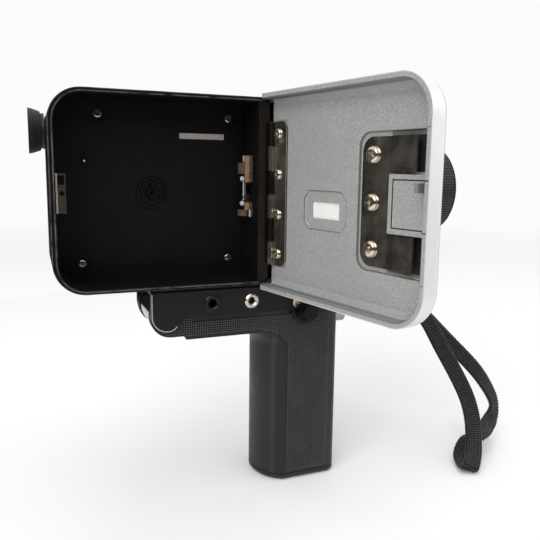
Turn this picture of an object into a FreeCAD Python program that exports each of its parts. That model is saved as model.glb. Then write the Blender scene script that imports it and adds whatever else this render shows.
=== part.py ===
import FreeCAD, Part
import math
import os
import re

import Sketcher
from FreeCAD import Placement, Rotation, Vector

# A cartridge movie camera on its pistol grip, in millimetres.
# +X points to the lens, +Y to the camera's left, +Z up.
# The origin is the mouth of the tripod bush, in the middle of the grip's foot.

document = FreeCAD.newDocument("MovieCamera")
sheet = document.addObject("Spreadsheet::Sheet", "Sizes")

# Driving dimensions: alias, value, what it measures.
TABLE = """
body_floor          95.4  underside of the body over the foot
body_height         80.2  height of the body
body_length         88.1  rear face to the hinge line
hinge_x            -18.4  hinge line from the grip's middle
front_x             34.0  front face from the grip's middle
half_width          26.3  middle plane to either outer side
rim_half            20.5  middle plane to the chamber rim
left_seam           21.5  middle plane to the left cover's seam
corner_radius       12.8  rear corners of the body
front_radius         6.0  front corners of the body
overhang             0.7  silver covers over the body outline
edge_round           3.6  rounding of the silver covers' edges
flange_wall         1.75  flange of the silver covers
skin_wall            2.2  flat skin of the silver covers
slope                3.0  sloped band inside the covers
seam_gap             0.3  gap of a shut cover to the body
core_wall            2.2  walls of the black body
floor_wall           1.6  floor of the film chamber
chamber_depth       21.8  chamber rim to chamber floor
front_wall           5.2  front wall of the film chamber
tongue_inset         1.4  rim tongue inside the body outline
tongue_height        3.0  rim tongue
optic_height        41.5  optical axis over the body's underside
film_centre         12.2  optical axis over the chamber floor
light_bore           4.6  radius of the light passage
hub_back            45.8  take-up hub behind the hinge line
hub_height          39.4  take-up hub over the body's underside
hub_radius           6.8  take-up hub
hub_clear            0.3  gap round the take-up hub
hub_shaft            1.6  shaft of the take-up hub
screw_ring           2.9  recess round a chamber screw
screw_ring_depth     0.5  depth of that recess
screw_head           2.0  radius of a chamber screw's head
screw_shank          1.1  radius of a chamber screw's shank
screw_sink           0.5  head below the chamber floor
screw_low_x         10.2  lower rear screw from the chamber's rear wall
screw_high_x        18.1  upper rear screw from the chamber's rear wall
screw_front_x        5.9  front screws from the chamber's front wall
screw_low_z          9.4  lower screws over the body's underside
screw_high_z         7.9  upper screws under the body's top
slot_width           0.6  driver slots
slot_depth           0.5  depth of a driver slot
name_length         20.0  blank name plate
name_width           2.4  height of the name plate
name_thick           0.4  thickness of the name plate
name_x             -42.0  middle of the name plate
name_height         64.0  name plate over the body's underside
pin_radius           1.0  cartridge locating pin
pin_rise             2.5  pin over the chamber floor
pin_x              -91.9  locating pin
pin_height          52.8  locating pin over the body's underside
gate_length         29.0  film gate plate
gate_near            5.5  gate plate beside the optical axis, near side
gate_far             8.5  gate plate beside the optical axis, far side
gate_thick           0.8  thickness of the film gate plate
frame_width          5.8  picture aperture
frame_height         4.2  height of the picture aperture
guide_side           2.8  copper guide blocks beside the optical axis
guide_width          5.2  width of a guide block
guide_rise           2.1  guide block over the gate plate
guide_high           6.5  upper guide block over the optical axis
guide_high_tall      4.8  height of the upper guide block
guide_low            9.5  lower guide block under the optical axis
guide_low_tall       2.6  height of the lower guide block
rail_side            0.5  copper film rails beside the optical axis
rail_thick           0.6  thickness of a film rail
rail_rise            2.0  film rail over the gate plate
rail_high            3.1  upper rail over the optical axis
rail_high_tall      11.2  height of the upper rail
rail_low             5.9  lower rail under the optical axis
rail_low_tall        3.2  height of the lower rail
edge_side            5.0  raised film edge beside the optical axis
edge_rise            0.6  raised film edge over the gate plate
gate_pin_side        6.0  round pins beside the optical axis
gate_pin_radius      1.1  round pins of the gate
gate_pin_rise        1.6  round pins over the gate plate
gate_pin_high        4.4  upper pin over the optical axis
gate_pin_low         6.6  lower pin under the optical axis
clip_side            2.9  small clip beside the optical axis, near side
clip_low             8.9  small clip under the optical axis
clip_tall            3.0  height of the small clip
claw_width           0.8  film claw
claw_side            3.3  film claw beside the optical axis
claw_pitch          4.23  stroke of the claw, one picture
claw_rise            1.6  claw tip over the gate plate
claw_slot            1.6  width of the claw's slot
claw_arm            16.0  arm of the claw
strike_width         3.7  latch strike plate
strike_length       15.2  length of the strike plate
strike_thick         0.7  sheet of the strike plate
strike_depth         1.2  strike plate under the rim
strike_foot          6.0  foot of the strike plate
strike_hole          0.9  hole of the strike plate
strike_bridge        0.5  edge of the strike plate that the hook holds
strike_height       40.2  strike plate over the underside
hinge_drop           2.4  hinge line over the chamber rim
knuckle_radius       1.4  hinge knuckles
hinge_pin_radius     0.7  hinge pin
hinge_fit           0.05  running clearance of the hinge pin
knuckle_length      10.0  one knuckle
knuckle_gap          0.3  gap between two knuckles
leaf_thick           0.8  hinge leaves
leaf_width           9.4  door leaf from the hinge line
leaf_corner          3.0  rounded corners of the door leaf
leaf_screw_back      3.75  leaf screws from the hinge line
leaf_screw_pitch    16.7  pitch of the leaf screws
leaf_head            2.0  heads of the leaf screws
leaf_head_rise       1.2  rise of those heads
spring_head          2.7  heads of the spring screws
body_leaf_width      4.6  body leaf
hinge_mid           39.7  middle of the hinge over the underside
door_opening       103.5  opening of the film door in degrees
door_ear             2.1  door flange past the hinge line
door_skin            1.2  door skin past the hinge line
ear_round            3.0  rounding of the door flange's end
leaf_sink            0.4  leaf let into the door
pocket_edge          0.5  edge left round a let-in plate
window_length       15.8  door window
window_height        6.4  height of the door window
window_x            33.5  window's middle behind the hinge line
window_mid          34.8  window's middle over the underside
window_lip           1.6  pane beyond the window
window_pane          1.0  thickness of the pane
window_border        4.3  recess round the window
window_sink          0.6  depth of that recess
window_corner        3.0  chamfer of the recess
window_bevel         0.5  bevel of the recess's floor
spring_front        53.6  spring plate's front edge behind the hinge
spring_back         79.6  spring arms' ends behind the hinge
spring_bend         66.5  bends of the arms behind the hinge
spring_peak         78.4  crests of the arms behind the hinge
spring_low          17.1  lower edge of the spring plate
spring_high         61.8  upper edge of the spring plate
spring_arm          12.2  width of one arm
spring_thick         0.7  spring sheet
spring_rise          2.4  crest of the arms over the plate
spring_sink          0.8  channel of the spring plate
spring_margin        1.7  channel round the spring plate
spring_well          0.5  wells under the arms' ends
spring_dip           0.3  ends of the arms under their crests
spring_corner        5.0  rounded corners of the plate
spring_screw_x      58.6  spring screws behind the hinge line
spring_screw_pitch  16.3  pitch of the spring screws
latch_front         67.8  latch housing's front behind the hinge
latch_gap            0.3  latch housing beside the spring's arms
latch_rise           1.5  latch housing over the door floor
latch_travel         1.2  travel of the latch slide
latch_bolt_width    15.6  bolt of the latch slide
latch_bolt_thick     1.2  thickness of the bolt
latch_nose           0.8  post of the latch's hook
latch_hook           3.0  width of the latch's hook
latch_hook_height   45.2  latch's hook over the underside
latch_hook_reach     0.9  hook ahead of its post
latch_border         1.8  edge of the latch housing round its lid
latch_line           0.3  groove round that lid
latch_tab_length     8.4  finger piece of the latch
latch_tab_width      8.0  width of the finger piece
latch_tab_rise       0.9  height of the finger piece's recess
latch_fit            0.3  clearance round the latch slide
eye_y               11.5  finder axis from the middle plane
eye_height          64.7  finder axis over the underside
finder_radius        6.0  finder tube
finder_wall          1.0  wall of the finder tube
finder_clear        0.05  gap round the finder tube
finder_neck          4.2  bore of the finder tube's rear neck
eye_neck             7.8  neck of the eyecup
eye_flare            9.4  rim of the eyecup
eye_reach            6.5  eyecup behind the body
eye_wall             1.5  wall of the eyecup
diopter_radius       7.4  dioptre ring
diopter_length       3.0  dioptre ring behind the body
diopter_bore         5.0  bore of the dioptre ring
diopter_taper        0.6  taper of the dioptre ring
fit                 0.06  running fit of turned parts
pane_thick           1.4  finder window and lenses' edges
finder_window_width 14.0  finder window
finder_window_high   9.0  height of the finder window
barrel_radius       12.6  lens barrel in the housing
barrel_bore         10.8  bore of the lens barrel
barrel_rib           0.4  rib round the barrel's rear end
barrel_neck         12.0  seat of the lens rings
barrel_rear         -6.0  rear end of the lens barrel
collar_radius       15.2  collar on the front face
collar_thick         2.4  thickness of that collar
zoom_start          38.0  rear of the zoom ring
zoom_length         13.0  zoom ring
zoom_radius         16.6  outside of the zoom ring
zoom_lever           2.0  radius of the zoom lever
zoom_lever_rise      6.5  zoom lever over its ring
rear_lens_x          2.0  rear face of the rear lens
rear_lens_edge       3.0  edge of the rear lens
rear_lens_crown      1.2  crown of the rear lens
zoom_lens_x         21.5  middle of the zoom lenses at rest
zoom_lens_edge       5.0  edge of the zoom lenses
zoom_lens_fit        0.3  running gap round the zoom lenses
ring_gap             0.5  gaps between the lens rings
focus_length        19.8  focus ring
focus_radius        20.3  outside of the focus ring
focus_inner         18.4  focus ring round the front glass
bezel_length         6.0  front bezel
filter_radius       17.5  filter thread in the bezel
filter_length        2.5  length of the filter thread
bezel_proud          0.6  bezel ahead of the focus ring
bezel_throat        13.8  narrow end of the bezel's funnel
bezel_wall           1.4  bezel wall at its mouth
glass_edge           2.6  edge of the front glass
glass_crown          1.6  crown of the front glass
motor_radius         8.5  drive motor
motor_length        24.0  length of the motor
motor_y             12.4  motor axis from the middle plane
motor_height        25.7  motor axis over the underside
motor_shaft          0.9  motor shaft
pinion_teeth          12  teeth of the pinion
shutter_teeth         58  teeth of the shutter gear
tooth_module         0.5  module of the gears
gear_width           2.4  face of the gears
pinion_width         4.0  face of the pinion
tooth_gap           0.15  clearance between the teeth
shutter_y            0.5  shutter shaft from the middle plane
shutter_shaft        1.5  shutter shaft
shutter_radius      15.4  shutter disc
shutter_thick        0.6  thickness of the shutter disc
shutter_x          -16.6  shutter disc
gear_x             -14.6  rear of the shutter gear
plate_x             -9.8  rear of the mechanism plate
plate_thick          1.8  mechanism plate
plate_high          54.5  upper edge of the mechanism plate over the underside
worm_radius          2.4  worm on the motor shaft
worm_length         12.0  length of the worm
take_up_wheel       11.2  take-up wheel
wheel_width          2.2  width of the take-up wheel
wheel_teeth           60  notches of the take-up wheel
board_length        26.0  circuit board
board_height        36.0  height of the circuit board
board_thick          1.6  thickness of the circuit board
board_x            -24.6  front edge of the circuit board
board_low           40.0  board's lower edge over the underside
board_gap            1.2  board over the chamber's back
dial_radius          9.0  side dials
dial_rise            3.2  side dials over the cover
dial_stem            2.0  stems of the side dials
dial_gap             0.4  gap under a dial
speed_dial_x       -40.0  filming-speed dial
exposure_dial_x    -10.0  exposure dial
dial_height         28.0  side dials over the underside
switch_x           -78.0  power switch
switch_height       30.0  power switch over the underside
switch_length       12.0  length of the switch knob
switch_width         6.0  width of the switch knob
switch_rise          2.6  switch knob over the cover
switch_travel        6.0  travel of the power switch
counter_x          -84.0  footage window
counter_height      58.0  footage window over the underside
counter_length      11.0  footage window
counter_width        7.0  height of the footage window
rocker_x             8.0  zoom rocker
rocker_length       22.0  length of the zoom rocker
rocker_width         8.0  width of the zoom rocker
rocker_rise          2.0  zoom rocker over the top
rocker_pivot         1.0  pivot of the rocker
trigger_x           24.2  rear face of the trigger
trigger_depth        5.0  trigger front to back
trigger_width        9.0  width of the trigger
trigger_drop        24.4  trigger under the body
trigger_travel       2.8  travel of the trigger
trigger_hollow      11.0  radius of the finger hollow
trigger_head         4.6  trigger's head in the housing
lug_y                9.0  strap lug from the middle plane
lug_height           3.6  strap lug over the underside
lug_width           13.0  strap lug
lug_tall             5.0  height of the strap lug
lug_reach            4.6  strap lug ahead of the front face
strap_radius         2.5  round that fills the flat strap's space
saddle_drop         12.4  saddle under the body
saddle_half         18.6  middle plane to the saddle's side
saddle_wall          1.8  saddle sheet
saddle_rear        -69.0  rear edge of the saddle
saddle_front        18.6  front edge of the saddle
ear_drop            17.8  ear under the body
ear_length           9.2  straight length of the ear
ear_radius           6.8  rear corner of the ear
ear_front_radius     4.6  front corner of the ear
ear_slant            4.7  slant in front of the ear
knob_x               0.9  grip lock knob
knob_lobe            6.6  lobe round the lock knob
knob_radius          4.9  lock knob
knob_tip             3.4  tip of the lock knob
knob_reach           6.4  lock knob beside the saddle
knob_drop           12.8  lock knob under the body
knob_gap             1.1  lock knob's foot beside the saddle
knob_stem            2.2  stem of the lock knob
trim_width          0.35  bright trim line
trim_proud          0.15  trim line beside the saddle
trim_inset          0.15  trim line inside the saddle's edge
socket_drop          6.9  sockets under the body
remote_x           -42.8  remote socket
remote_radius        4.0  remote socket
remote_bore         1.75  bore of the remote socket
release_x          -25.1  cable-release socket
release_radius       3.3  cable-release socket
release_bore         1.5  bore of the cable-release socket
socket_proud         0.8  sockets beside the saddle
socket_length        9.0  length of a socket
gilt_x              -2.9  gilt screw
gilt_radius          2.8  gilt screw
gilt_drop            9.0  gilt screw under the body
gilt_proud           0.7  gilt screw beside the saddle
pivot_x            -60.2  grip pivot
pivot_drop          12.0  grip pivot under the body
pivot_radius         2.5  grip pivot pin
pivot_cover          0.9  saddle sheet over the pivot's near end
grip_half           16.2  middle plane to the grip's flat side
grip_front          19.8  front of the grip
grip_rear          -18.2  rear of the grip
grip_rear_radius    18.0  rounded rear of the grip
grip_front_radius    4.6  front corners of the grip
grip_line_back       3.5  upright line behind the grip's front
grip_line            0.5  width of that line
grip_line_depth      0.3  depth of that line
grip_gap             0.6  grip under the saddle
grip_wall            1.7  wall of the grip
arm_depth            9.4  height of the grip's arm
arm_step_x         -54.7  step of the arm
arm_step             1.6  height of that step
arm_end_radius       8.8  rounded end of the arm
blend_radius         8.0  hollow blend behind the handle
cheek                4.6  cheek of the arm's end
barrel_clear         0.3  gap beside the hinge barrel
foot_thick           2.8  foot cap of the grip
foot_round           2.2  rounding of the foot's edge
foot_seam            0.3  seam over the foot cap
bush_radius          5.0  tripod bush
bush_bore           2.55  bore of the tripod bush
bush_length          9.0  length of the tripod bush
cell_radius          7.1  cell
cell_length         50.5  length of a cell
cell_gap             0.3  gap between the cells
holder_plate         1.6  end plates of the battery holder
holder_contact       1.0  contacts between plate and cells
holder_rise         12.0  holder over the foot
"""


class Size:
    """A size as a number, and as the sheet's expression for it."""

    def __init__(self, number, text):
        self.number = number
        self.text = text

    def __add__(self, other):
        return joined(self, "+", other)

    def __radd__(self, other):
        return joined(other, "+", self)

    def __sub__(self, other):
        return joined(self, "-", other)

    def __rsub__(self, other):
        return joined(other, "-", self)

    def __mul__(self, other):
        return joined(self, "*", other)

    def __rmul__(self, other):
        return joined(other, "*", self)

    def __truediv__(self, other):
        return joined(self, "/", other)

    def __neg__(self):
        return joined(0, "-", self)


def as_size(value):
    return value if isinstance(value, Size) else Size(float(value), repr(value))


def joined(left, sign, right):
    left = as_size(left)
    right = as_size(right)
    number = {
        "+": lambda a, b: a + b,
        "-": lambda a, b: a - b,
        "*": lambda a, b: a * b,
        "/": lambda a, b: a / b,
    }[sign](left.number, right.number)
    return Size(number, "(" + left.text + " " + sign + " " + right.text + ")")


def root(value):
    return Size(math.sqrt(value.number), "sqrt(" + value.text + ")")


class Sizes:
    """The sheet's rows, each an attribute."""


d = Sizes()
for row, line in enumerate(TABLE.strip().splitlines(), 1):
    alias, number, meaning = re.match(r"(\w+)\s+(\S+)\s+(.+)", line).groups()
    sheet.set("A%d" % row, meaning)
    sheet.set("B%d" % row, number)
    sheet.setAlias("B%d" % row, alias)
    setattr(d, alias, Size(float(number), "Sizes." + alias))
document.recompute()

AXES = {"x": Vector(1, 0, 0), "y": Vector(0, 1, 0), "z": Vector(0, 0, 1)}
# A sketch plane for each axis: its role, which way its normal points, and the axes along it.
PLANES = {
    "x": ("YZ_Plane", 1, "yz"),
    "y": ("XZ_Plane", -1, "xz"),
    "z": ("XY_Plane", 1, "xy"),
}
sub_parts = []


def bind(thing, place, value):
    thing.setExpression(place, as_size(value).text)


def put(thing, x, y, z):
    bind(thing, "Placement.Base.x", x)
    bind(thing, "Placement.Base.y", y)
    bind(thing, "Placement.Base.z", z)
    return thing


def sub_part(name, thing):
    """Name a finished piece; its label becomes its file's name."""
    thing.Label = name
    sub_parts.append(thing)
    return thing


def box(x, y, z):
    """A box between the two values of each axis."""
    thing = document.addObject("Part::Box", "Box")
    bind(thing, "Length", x[1] - x[0])
    bind(thing, "Width", y[1] - y[0])
    bind(thing, "Height", z[1] - z[0])
    return put(thing, x[0], y[0], z[0])


def turned_to(thing, axis):
    thing.Placement = Placement(Vector(), Rotation(AXES["z"], AXES[axis]))
    return thing


def rod(axis, start, radius, length):
    """A cylinder from its start point along an axis."""
    thing = turned_to(document.addObject("Part::Cylinder", "Rod"), axis)
    bind(thing, "Radius", radius)
    bind(thing, "Height", length)
    return put(thing, *start)


def cone(axis, start, radius, end_radius, length):
    thing = turned_to(document.addObject("Part::Cone", "Cone"), axis)
    bind(thing, "Radius1", radius)
    bind(thing, "Radius2", end_radius)
    bind(thing, "Height", length)
    return put(thing, *start)


def ring_round(axis, centre, radius, thickness):
    thing = turned_to(document.addObject("Part::Torus", "Torus"), axis)
    bind(thing, "Radius1", radius)
    bind(thing, "Radius2", thickness)
    return put(thing, *centre)


def joint_of(kind, pieces):
    thing = document.addObject(kind, "Group")
    thing.Shapes = list(pieces)
    return thing


def fuse(*pieces):
    return joint_of("Part::MultiFuse", pieces) if len(pieces) > 1 else pieces[0]


def common(*pieces):
    return joint_of("Part::MultiCommon", pieces)


def group(*pieces):
    """Separate solids that share one node."""
    thing = document.addObject("Part::Compound", "Group")
    thing.Links = list(pieces)
    return thing


def cut(base, *tools):
    thing = document.addObject("Part::Cut", "Cut")
    thing.Base = base
    thing.Tool = fuse(*tools)
    return thing


def tube(axis, start, radius, bore, length):
    return cut(rod(axis, start, radius, length), rod(axis, start, bore, length))


def new_body(axis, offset):
    """A body with an empty sketch across an axis, at an offset along it."""
    role, way, across = PLANES[axis]
    body = document.addObject("PartDesign::Body", "Body")
    plane = [f for f in body.Origin.OriginFeatures if f.Role == role][0]
    sketch = body.newObject("Sketcher::SketchObject", "Sketch")
    sketch.AttachmentSupport = [(plane, "")]
    sketch.MapMode = "FlatFace"
    bind(sketch, "AttachmentOffset.Base.z", way * offset)
    return body, sketch


def outline(sketch, points):
    """A closed outline of straight sides through bound points."""
    count = len(points)
    for number in range(count):
        here = [as_size(value).number for value in points[number]]
        there = [as_size(value).number for value in points[(number + 1) % count]]
        sketch.addGeometry(Part.LineSegment(Vector(*here, 0), Vector(*there, 0)), False)
    for number in range(count):
        sketch.addConstraint(Sketcher.Constraint("Coincident", number, 2, (number + 1) % count, 1))
    for number, point in enumerate(points):
        for kind, value in zip(("DistanceX", "DistanceY"), point):
            size = as_size(value)
            place = sketch.addConstraint(Sketcher.Constraint(kind, -1, 1, number, 1, size.number))
            bind(sketch, "Constraints[%d]" % place, size)


def prism(axis, points, low, high):
    """An outline across an axis, filled from low to high along it."""
    start = high if PLANES[axis][1] < 0 else low
    body, sketch = new_body(axis, start)
    outline(sketch, points)
    pad = body.newObject("PartDesign::Pad", "Pad")
    pad.Profile = sketch
    bind(pad, "Length", high - low)
    return body


def dress(body, kind, size, chosen):
    """Round or bevel the edges of a body that a test chooses."""
    document.recompute()
    base = body.Tip
    names = [
        "Edge%d" % number
        for number, edge in enumerate(base.Shape.Edges, 1)
        if chosen(edge)
    ]
    if not names:
        raise ValueError("no edge to dress on " + body.Label)
    feature = body.newObject("PartDesign::" + kind, kind)
    feature.Base = (base, names)
    bind(feature, "Radius" if kind == "Fillet" else "Size", size)
    return body


def near(a, b):
    return abs(a - as_size(b).number) < 1e-4


def runs_along(axis, *places):
    """Straight edges along an axis, at given (u, v) places across it, or at all."""
    u, v = PLANES[axis][2]

    def chosen(edge):
        if abs(edge.tangentAt(edge.FirstParameter).dot(AXES[axis])) < 0.999:
            return False
        point = edge.CenterOfMass
        if not places:
            return True
        return any(near(getattr(point, u), a) and near(getattr(point, v), b) for a, b in places)

    return chosen


def lies_at(axis, level):
    """Edges that lie wholly at one level of an axis."""

    def chosen(edge):
        low = getattr(edge.BoundBox, axis.upper() + "Min")
        high = getattr(edge.BoundBox, axis.upper() + "Max")
        return near(low, level) and near(high, level)

    return chosen


def block(x, y, z, along, corners=(), radius=None):
    """A box made as a pad, with some corners along its axis rounded."""
    spans = {"x": x, "y": y, "z": z}
    u, v = (spans[name] for name in PLANES[along][2])
    low, high = spans[along]
    body = prism(along, [(u[0], v[0]), (u[1], v[0]), (u[1], v[1]), (u[0], v[1])], low, high)
    if corners:
        places = [(u[a], v[b]) for a, b in corners]
        dress(body, "Fillet", radius, runs_along(along, *places))
    return body


def turned(axis, centre, profile):
    """A turned piece: (place along the axis, radius) points round an axis through a centre."""
    body = document.addObject("PartDesign::Body", "Turned")
    flat = "XZ_Plane" if axis == "z" else "XY_Plane"
    line = axis.upper() + "_Axis"
    origin = {feature.Role: feature for feature in body.Origin.OriginFeatures}
    sketch = body.newObject("Sketcher::SketchObject", "Profile")
    sketch.AttachmentSupport = [(origin[flat], "")]
    sketch.MapMode = "FlatFace"
    outline(sketch, [(a, r) if axis == "x" else (r, a) for a, r in profile])
    turn = body.newObject("PartDesign::Revolution", "Turn")
    turn.Profile = sketch
    turn.ReferenceAxis = (origin[line], [""])
    turn.Angle = 360.0
    return put(body, *centre)


def shaped(shape):
    """A piece whose shape is worked out here from the sheet's sizes."""
    thing = document.addObject("Part::Feature", "Shaped")
    thing.Shape = shape
    return thing


REAR_CORNERS = ((0, 0), (0, 1))
FRONT_CORNERS = ((1, 0), (1, 1))
ALL_CORNERS = REAR_CORNERS + FRONT_CORNERS

# Places that several pieces share.
body_rear = d.hinge_x - d.body_length
body_low = d.body_floor
body_high = d.body_floor + d.body_height
rim_y = -d.rim_half
tongue_y = rim_y + d.tongue_height
floor_y = rim_y + d.chamber_depth
bay_y = floor_y + d.floor_wall
hinge_y = rim_y - d.hinge_drop
chamber_front = d.hinge_x - d.front_wall
optic_y = floor_y - d.film_centre
optic_z = body_low + d.optic_height
hub_x = d.hinge_x - d.hub_back
hub_z = body_low + d.hub_height
eye_z = body_low + d.eye_height
cover_rear = body_rear - d.overhang
cover_low = body_low - d.overhang
cover_high = body_high + d.overhang
cover_corner = d.corner_radius + d.overhang
tongue_side = (body_rear + d.tongue_inset, body_low + d.tongue_inset, body_high - d.tongue_inset)
focus_start = d.zoom_start + d.zoom_length + d.ring_gap
focus_end = focus_start + d.focus_length
lens_front = focus_end + d.bezel_proud


def chamber_casting():
    """Black body: film chamber on the door's side, mechanism bay on the left."""
    core = block(
        (body_rear, d.hinge_x), (rim_y, d.left_seam), (body_low, body_high),
        "y", REAR_CORNERS, d.corner_radius,
    )
    inner_corner = d.corner_radius - d.core_wall
    inside = (body_rear + d.core_wall, chamber_front)
    up = (body_low + d.core_wall, body_high - d.core_wall)
    chamber = block(inside, (rim_y - 1, floor_y), up, "y", REAR_CORNERS, inner_corner)
    bay = block(
        (body_rear + d.core_wall, d.hinge_x - d.core_wall), (bay_y, d.left_seam + 1), up,
        "y", REAR_CORNERS, inner_corner,
    )
    rim = block(
        (body_rear - 1, d.hinge_x + 1), (rim_y - 1, tongue_y), (body_low - 1, body_high + 1), "y"
    )
    tongue = block(
        (tongue_side[0], d.hinge_x + 2), (rim_y - 2, tongue_y + 1), (tongue_side[1], tongue_side[2]),
        "y", REAR_CORNERS, d.corner_radius - d.tongue_inset,
    )
    tools = [chamber, bay, cut(rim, tongue)]
    tools.append(rod("y", (hub_x, floor_y - 1, hub_z), d.hub_radius + d.hub_clear, 1 + hub_seat))
    tools.append(rod("y", (hub_x, floor_y, hub_z), d.hub_shaft + d.fit, d.floor_wall + 1))
    for x, z in chamber_screw_places():
        tools.append(rod("y", (x, floor_y - 1, z), d.screw_ring, 1 + d.screw_ring_depth))
        tools.append(rod("y", (x, floor_y - 1, z), d.screw_shank, d.floor_wall + 2))
    tools.append(rod("x", (chamber_front - 1, optic_y, optic_z), d.light_bore, d.front_wall + 2))
    tools.append(claw_way(chamber_front - 1, d.hinge_x + 1))
    tools.append(rod(
        "x", (body_rear - 1, d.eye_y, eye_z), d.finder_radius + d.finder_clear, d.body_length + 2
    ))
    tools.append(rod(
        "x", (d.hinge_x - d.core_wall - 1, d.motor_y, motor_z), d.motor_shaft + d.hub_clear,
        d.core_wall + 2,
    ))
    pin = rod(
        "y", (d.pin_x, floor_y - d.pin_rise, body_low + d.pin_height), d.pin_radius, d.pin_rise + 0.5
    )
    sub_part("chamber_casting", fuse(cut(core, *tools), pin))


hub_seat = d.floor_wall * 0.5


def chamber_screw_places():
    wall = body_rear + d.core_wall
    front = chamber_front - d.screw_front_x
    low = body_low + d.screw_low_z
    high = body_high - d.screw_high_z
    return [(wall + d.screw_low_x, low), (wall + d.screw_high_x, high), (front, low), (front, high)]


def slotted_screw(axis, way, place, head, rise, shank, length):
    """A screw whose head's foot is at a place; way is the side its head stands to."""
    x, y, z = place
    along = {"x": 0, "y": 1, "z": 2}[axis]
    start = [x, y, z]
    if way < 0:
        start[along] = start[along] - rise
    body = [rod(axis, tuple(start), head, rise)]
    stem = [x, y, z]
    if way > 0:
        stem[along] = stem[along] - length
    body.append(rod(axis, tuple(stem), shank, length))
    spans = [[x - d.slot_width / 2, x + d.slot_width / 2],
             [y - d.slot_width / 2, y + d.slot_width / 2],
             [z - head, z + head]]
    top = place[along] + way * rise
    inner = top - way * d.slot_depth
    spans[along] = [inner, top] if way > 0 else [top, inner]
    return cut(fuse(*body), box(*spans))


def chamber_screws():
    places = chamber_screw_places()
    seat = floor_y + d.screw_ring_depth
    screws = [
        slotted_screw("y", -1, (x, seat, z), d.screw_head, d.screw_sink, d.screw_shank - d.fit, d.floor_wall)
        for x, z in places
    ]
    sub_part("chamber_screws", group(*screws))


def name_plate():
    middle = body_low + d.name_height
    sub_part("name_plate", box(
        (d.name_x - d.name_length / 2, d.name_x + d.name_length / 2),
        (floor_y - d.name_thick, floor_y),
        (middle - d.name_width / 2, middle + d.name_width / 2),
    ))


def film_gate():
    """Gate plate on the chamber's front wall with aperture, claw slot, pins and film edges."""
    rear = chamber_front - d.gate_thick
    plate = box(
        (rear, chamber_front), (optic_y - d.gate_near, optic_y + d.gate_far),
        (optic_z - d.gate_length / 2, optic_z + d.gate_length / 2),
    )
    aperture = box(
        (rear - 1, chamber_front + 1),
        (optic_y - d.frame_width / 2, optic_y + d.frame_width / 2),
        (optic_z - d.frame_height / 2, optic_z + d.frame_height / 2),
    )
    slot = claw_way(rear - 1, chamber_front + 1)
    pin_places = (optic_z + d.gate_pin_high, optic_z - d.gate_pin_low)
    tip = rear - d.gate_pin_rise
    raised = [
        turned("x", (0, optic_y + d.gate_pin_side, z), [
            (tip, 0), (tip, d.gate_pin_radius * 0.55), (tip + d.gate_pin_radius * 0.4, d.gate_pin_radius),
            (chamber_front, d.gate_pin_radius), (chamber_front, 0),
        ])
        for z in pin_places
    ]
    upper_guide = optic_z + d.guide_high
    beside_pin = d.gate_pin_radius + d.hub_clear
    lower_edge = (pin_places[1] + beside_pin, pin_places[0] - beside_pin)
    upper_edge = (upper_guide + d.guide_high_tall + d.hub_clear, optic_z + d.gate_length / 2)
    for z in (lower_edge, upper_edge):
        raised.append(box(
            (rear - d.edge_rise, rear), (optic_y + d.edge_side, optic_y + d.edge_side + d.rail_thick), z
        ))
    clip = optic_z - d.clip_low
    raised.append(box(
        (rear - d.edge_rise, rear), (optic_y - d.clip_side - d.rail_thick, optic_y - d.clip_side),
        (clip - d.clip_tall, clip),
    ))
    sub_part("film_gate", fuse(cut(plate, aperture, slot), *raised))
    guides = []
    for z in (
        (upper_guide, upper_guide + d.guide_high_tall),
        (optic_z - d.guide_low - d.guide_low_tall, optic_z - d.guide_low),
    ):
        guides.append(box(
            (rear - d.guide_rise, rear), (optic_y + d.guide_side, optic_y + d.guide_side + d.guide_width), z
        ))
    for z in (
        (optic_z + d.rail_high, optic_z + d.rail_high + d.rail_high_tall),
        (optic_z - d.rail_low - d.rail_low_tall, optic_z - d.rail_low),
    ):
        guides.append(box(
            (rear - d.rail_rise, rear), (optic_y - d.rail_side - d.rail_thick, optic_y - d.rail_side), z
        ))
    sub_part("gate_guides", group(*guides))
    arm_x = d.hinge_x + d.hub_clear
    claw_top = claw_high - d.hub_clear
    claw = box(
        (rear - d.claw_rise, arm_x + 0.1), (claw_y - d.claw_width / 2, claw_y + d.claw_width / 2),
        (claw_top - d.claw_width, claw_top),
    )
    arm = box(
        (arm_x, arm_x + d.claw_width), (claw_y - 2 * d.claw_width, claw_y + 2 * d.claw_width),
        (claw_top - d.claw_arm, claw_top + 1),
    )
    sub_part("film_claw", fuse(claw, arm))


def claw_way(low, high):
    """The slot in which the claw goes up and down."""
    return box(
        (low, high), (claw_y - d.claw_slot / 2, claw_y + d.claw_slot / 2),
        (claw_high - d.claw_pitch - d.claw_width - 2 * d.hub_clear, claw_high),
    )


claw_high = optic_z - d.frame_height / 2 - 1
claw_y = optic_y + d.claw_side


def strike_plate():
    """Bent sheet that the door's latch hooks under, on the chamber's rear wall."""
    wall = body_rear + d.core_wall
    middle = body_low + d.strike_height
    z = (middle - d.strike_length / 2, middle + d.strike_length / 2)
    top = rim_y + d.strike_depth
    foot = box((wall, wall + d.strike_thick), (top, top + d.strike_foot), z)
    face = box((wall, wall + d.strike_width), (top, top + d.strike_thick), z)
    hole = rod("y", (wall + d.strike_width * 0.6, top - 1, middle), d.strike_hole, d.strike_thick + 2)
    notch = box(
        (wall + d.strike_thick, wall + d.strike_width - d.strike_bridge),
        (top - 1, top + d.strike_thick + 1),
        (hook_z - d.latch_hook / 2 - d.latch_fit, hook_z + d.latch_hook / 2 + d.latch_fit),
    )
    sub_part("strike_plate", cut(fuse(foot, face), hole, notch))


def knuckles(first):
    """Every second knuckle of the hinge, counted from its lower end."""
    low = hinge_z - 3 * d.knuckle_length
    pieces = []
    for number in range(first, 6, 2):
        start = low + number * d.knuckle_length + d.knuckle_gap / 2
        length = d.knuckle_length - d.knuckle_gap
        pieces.append((start, length))
    return pieces


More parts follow.
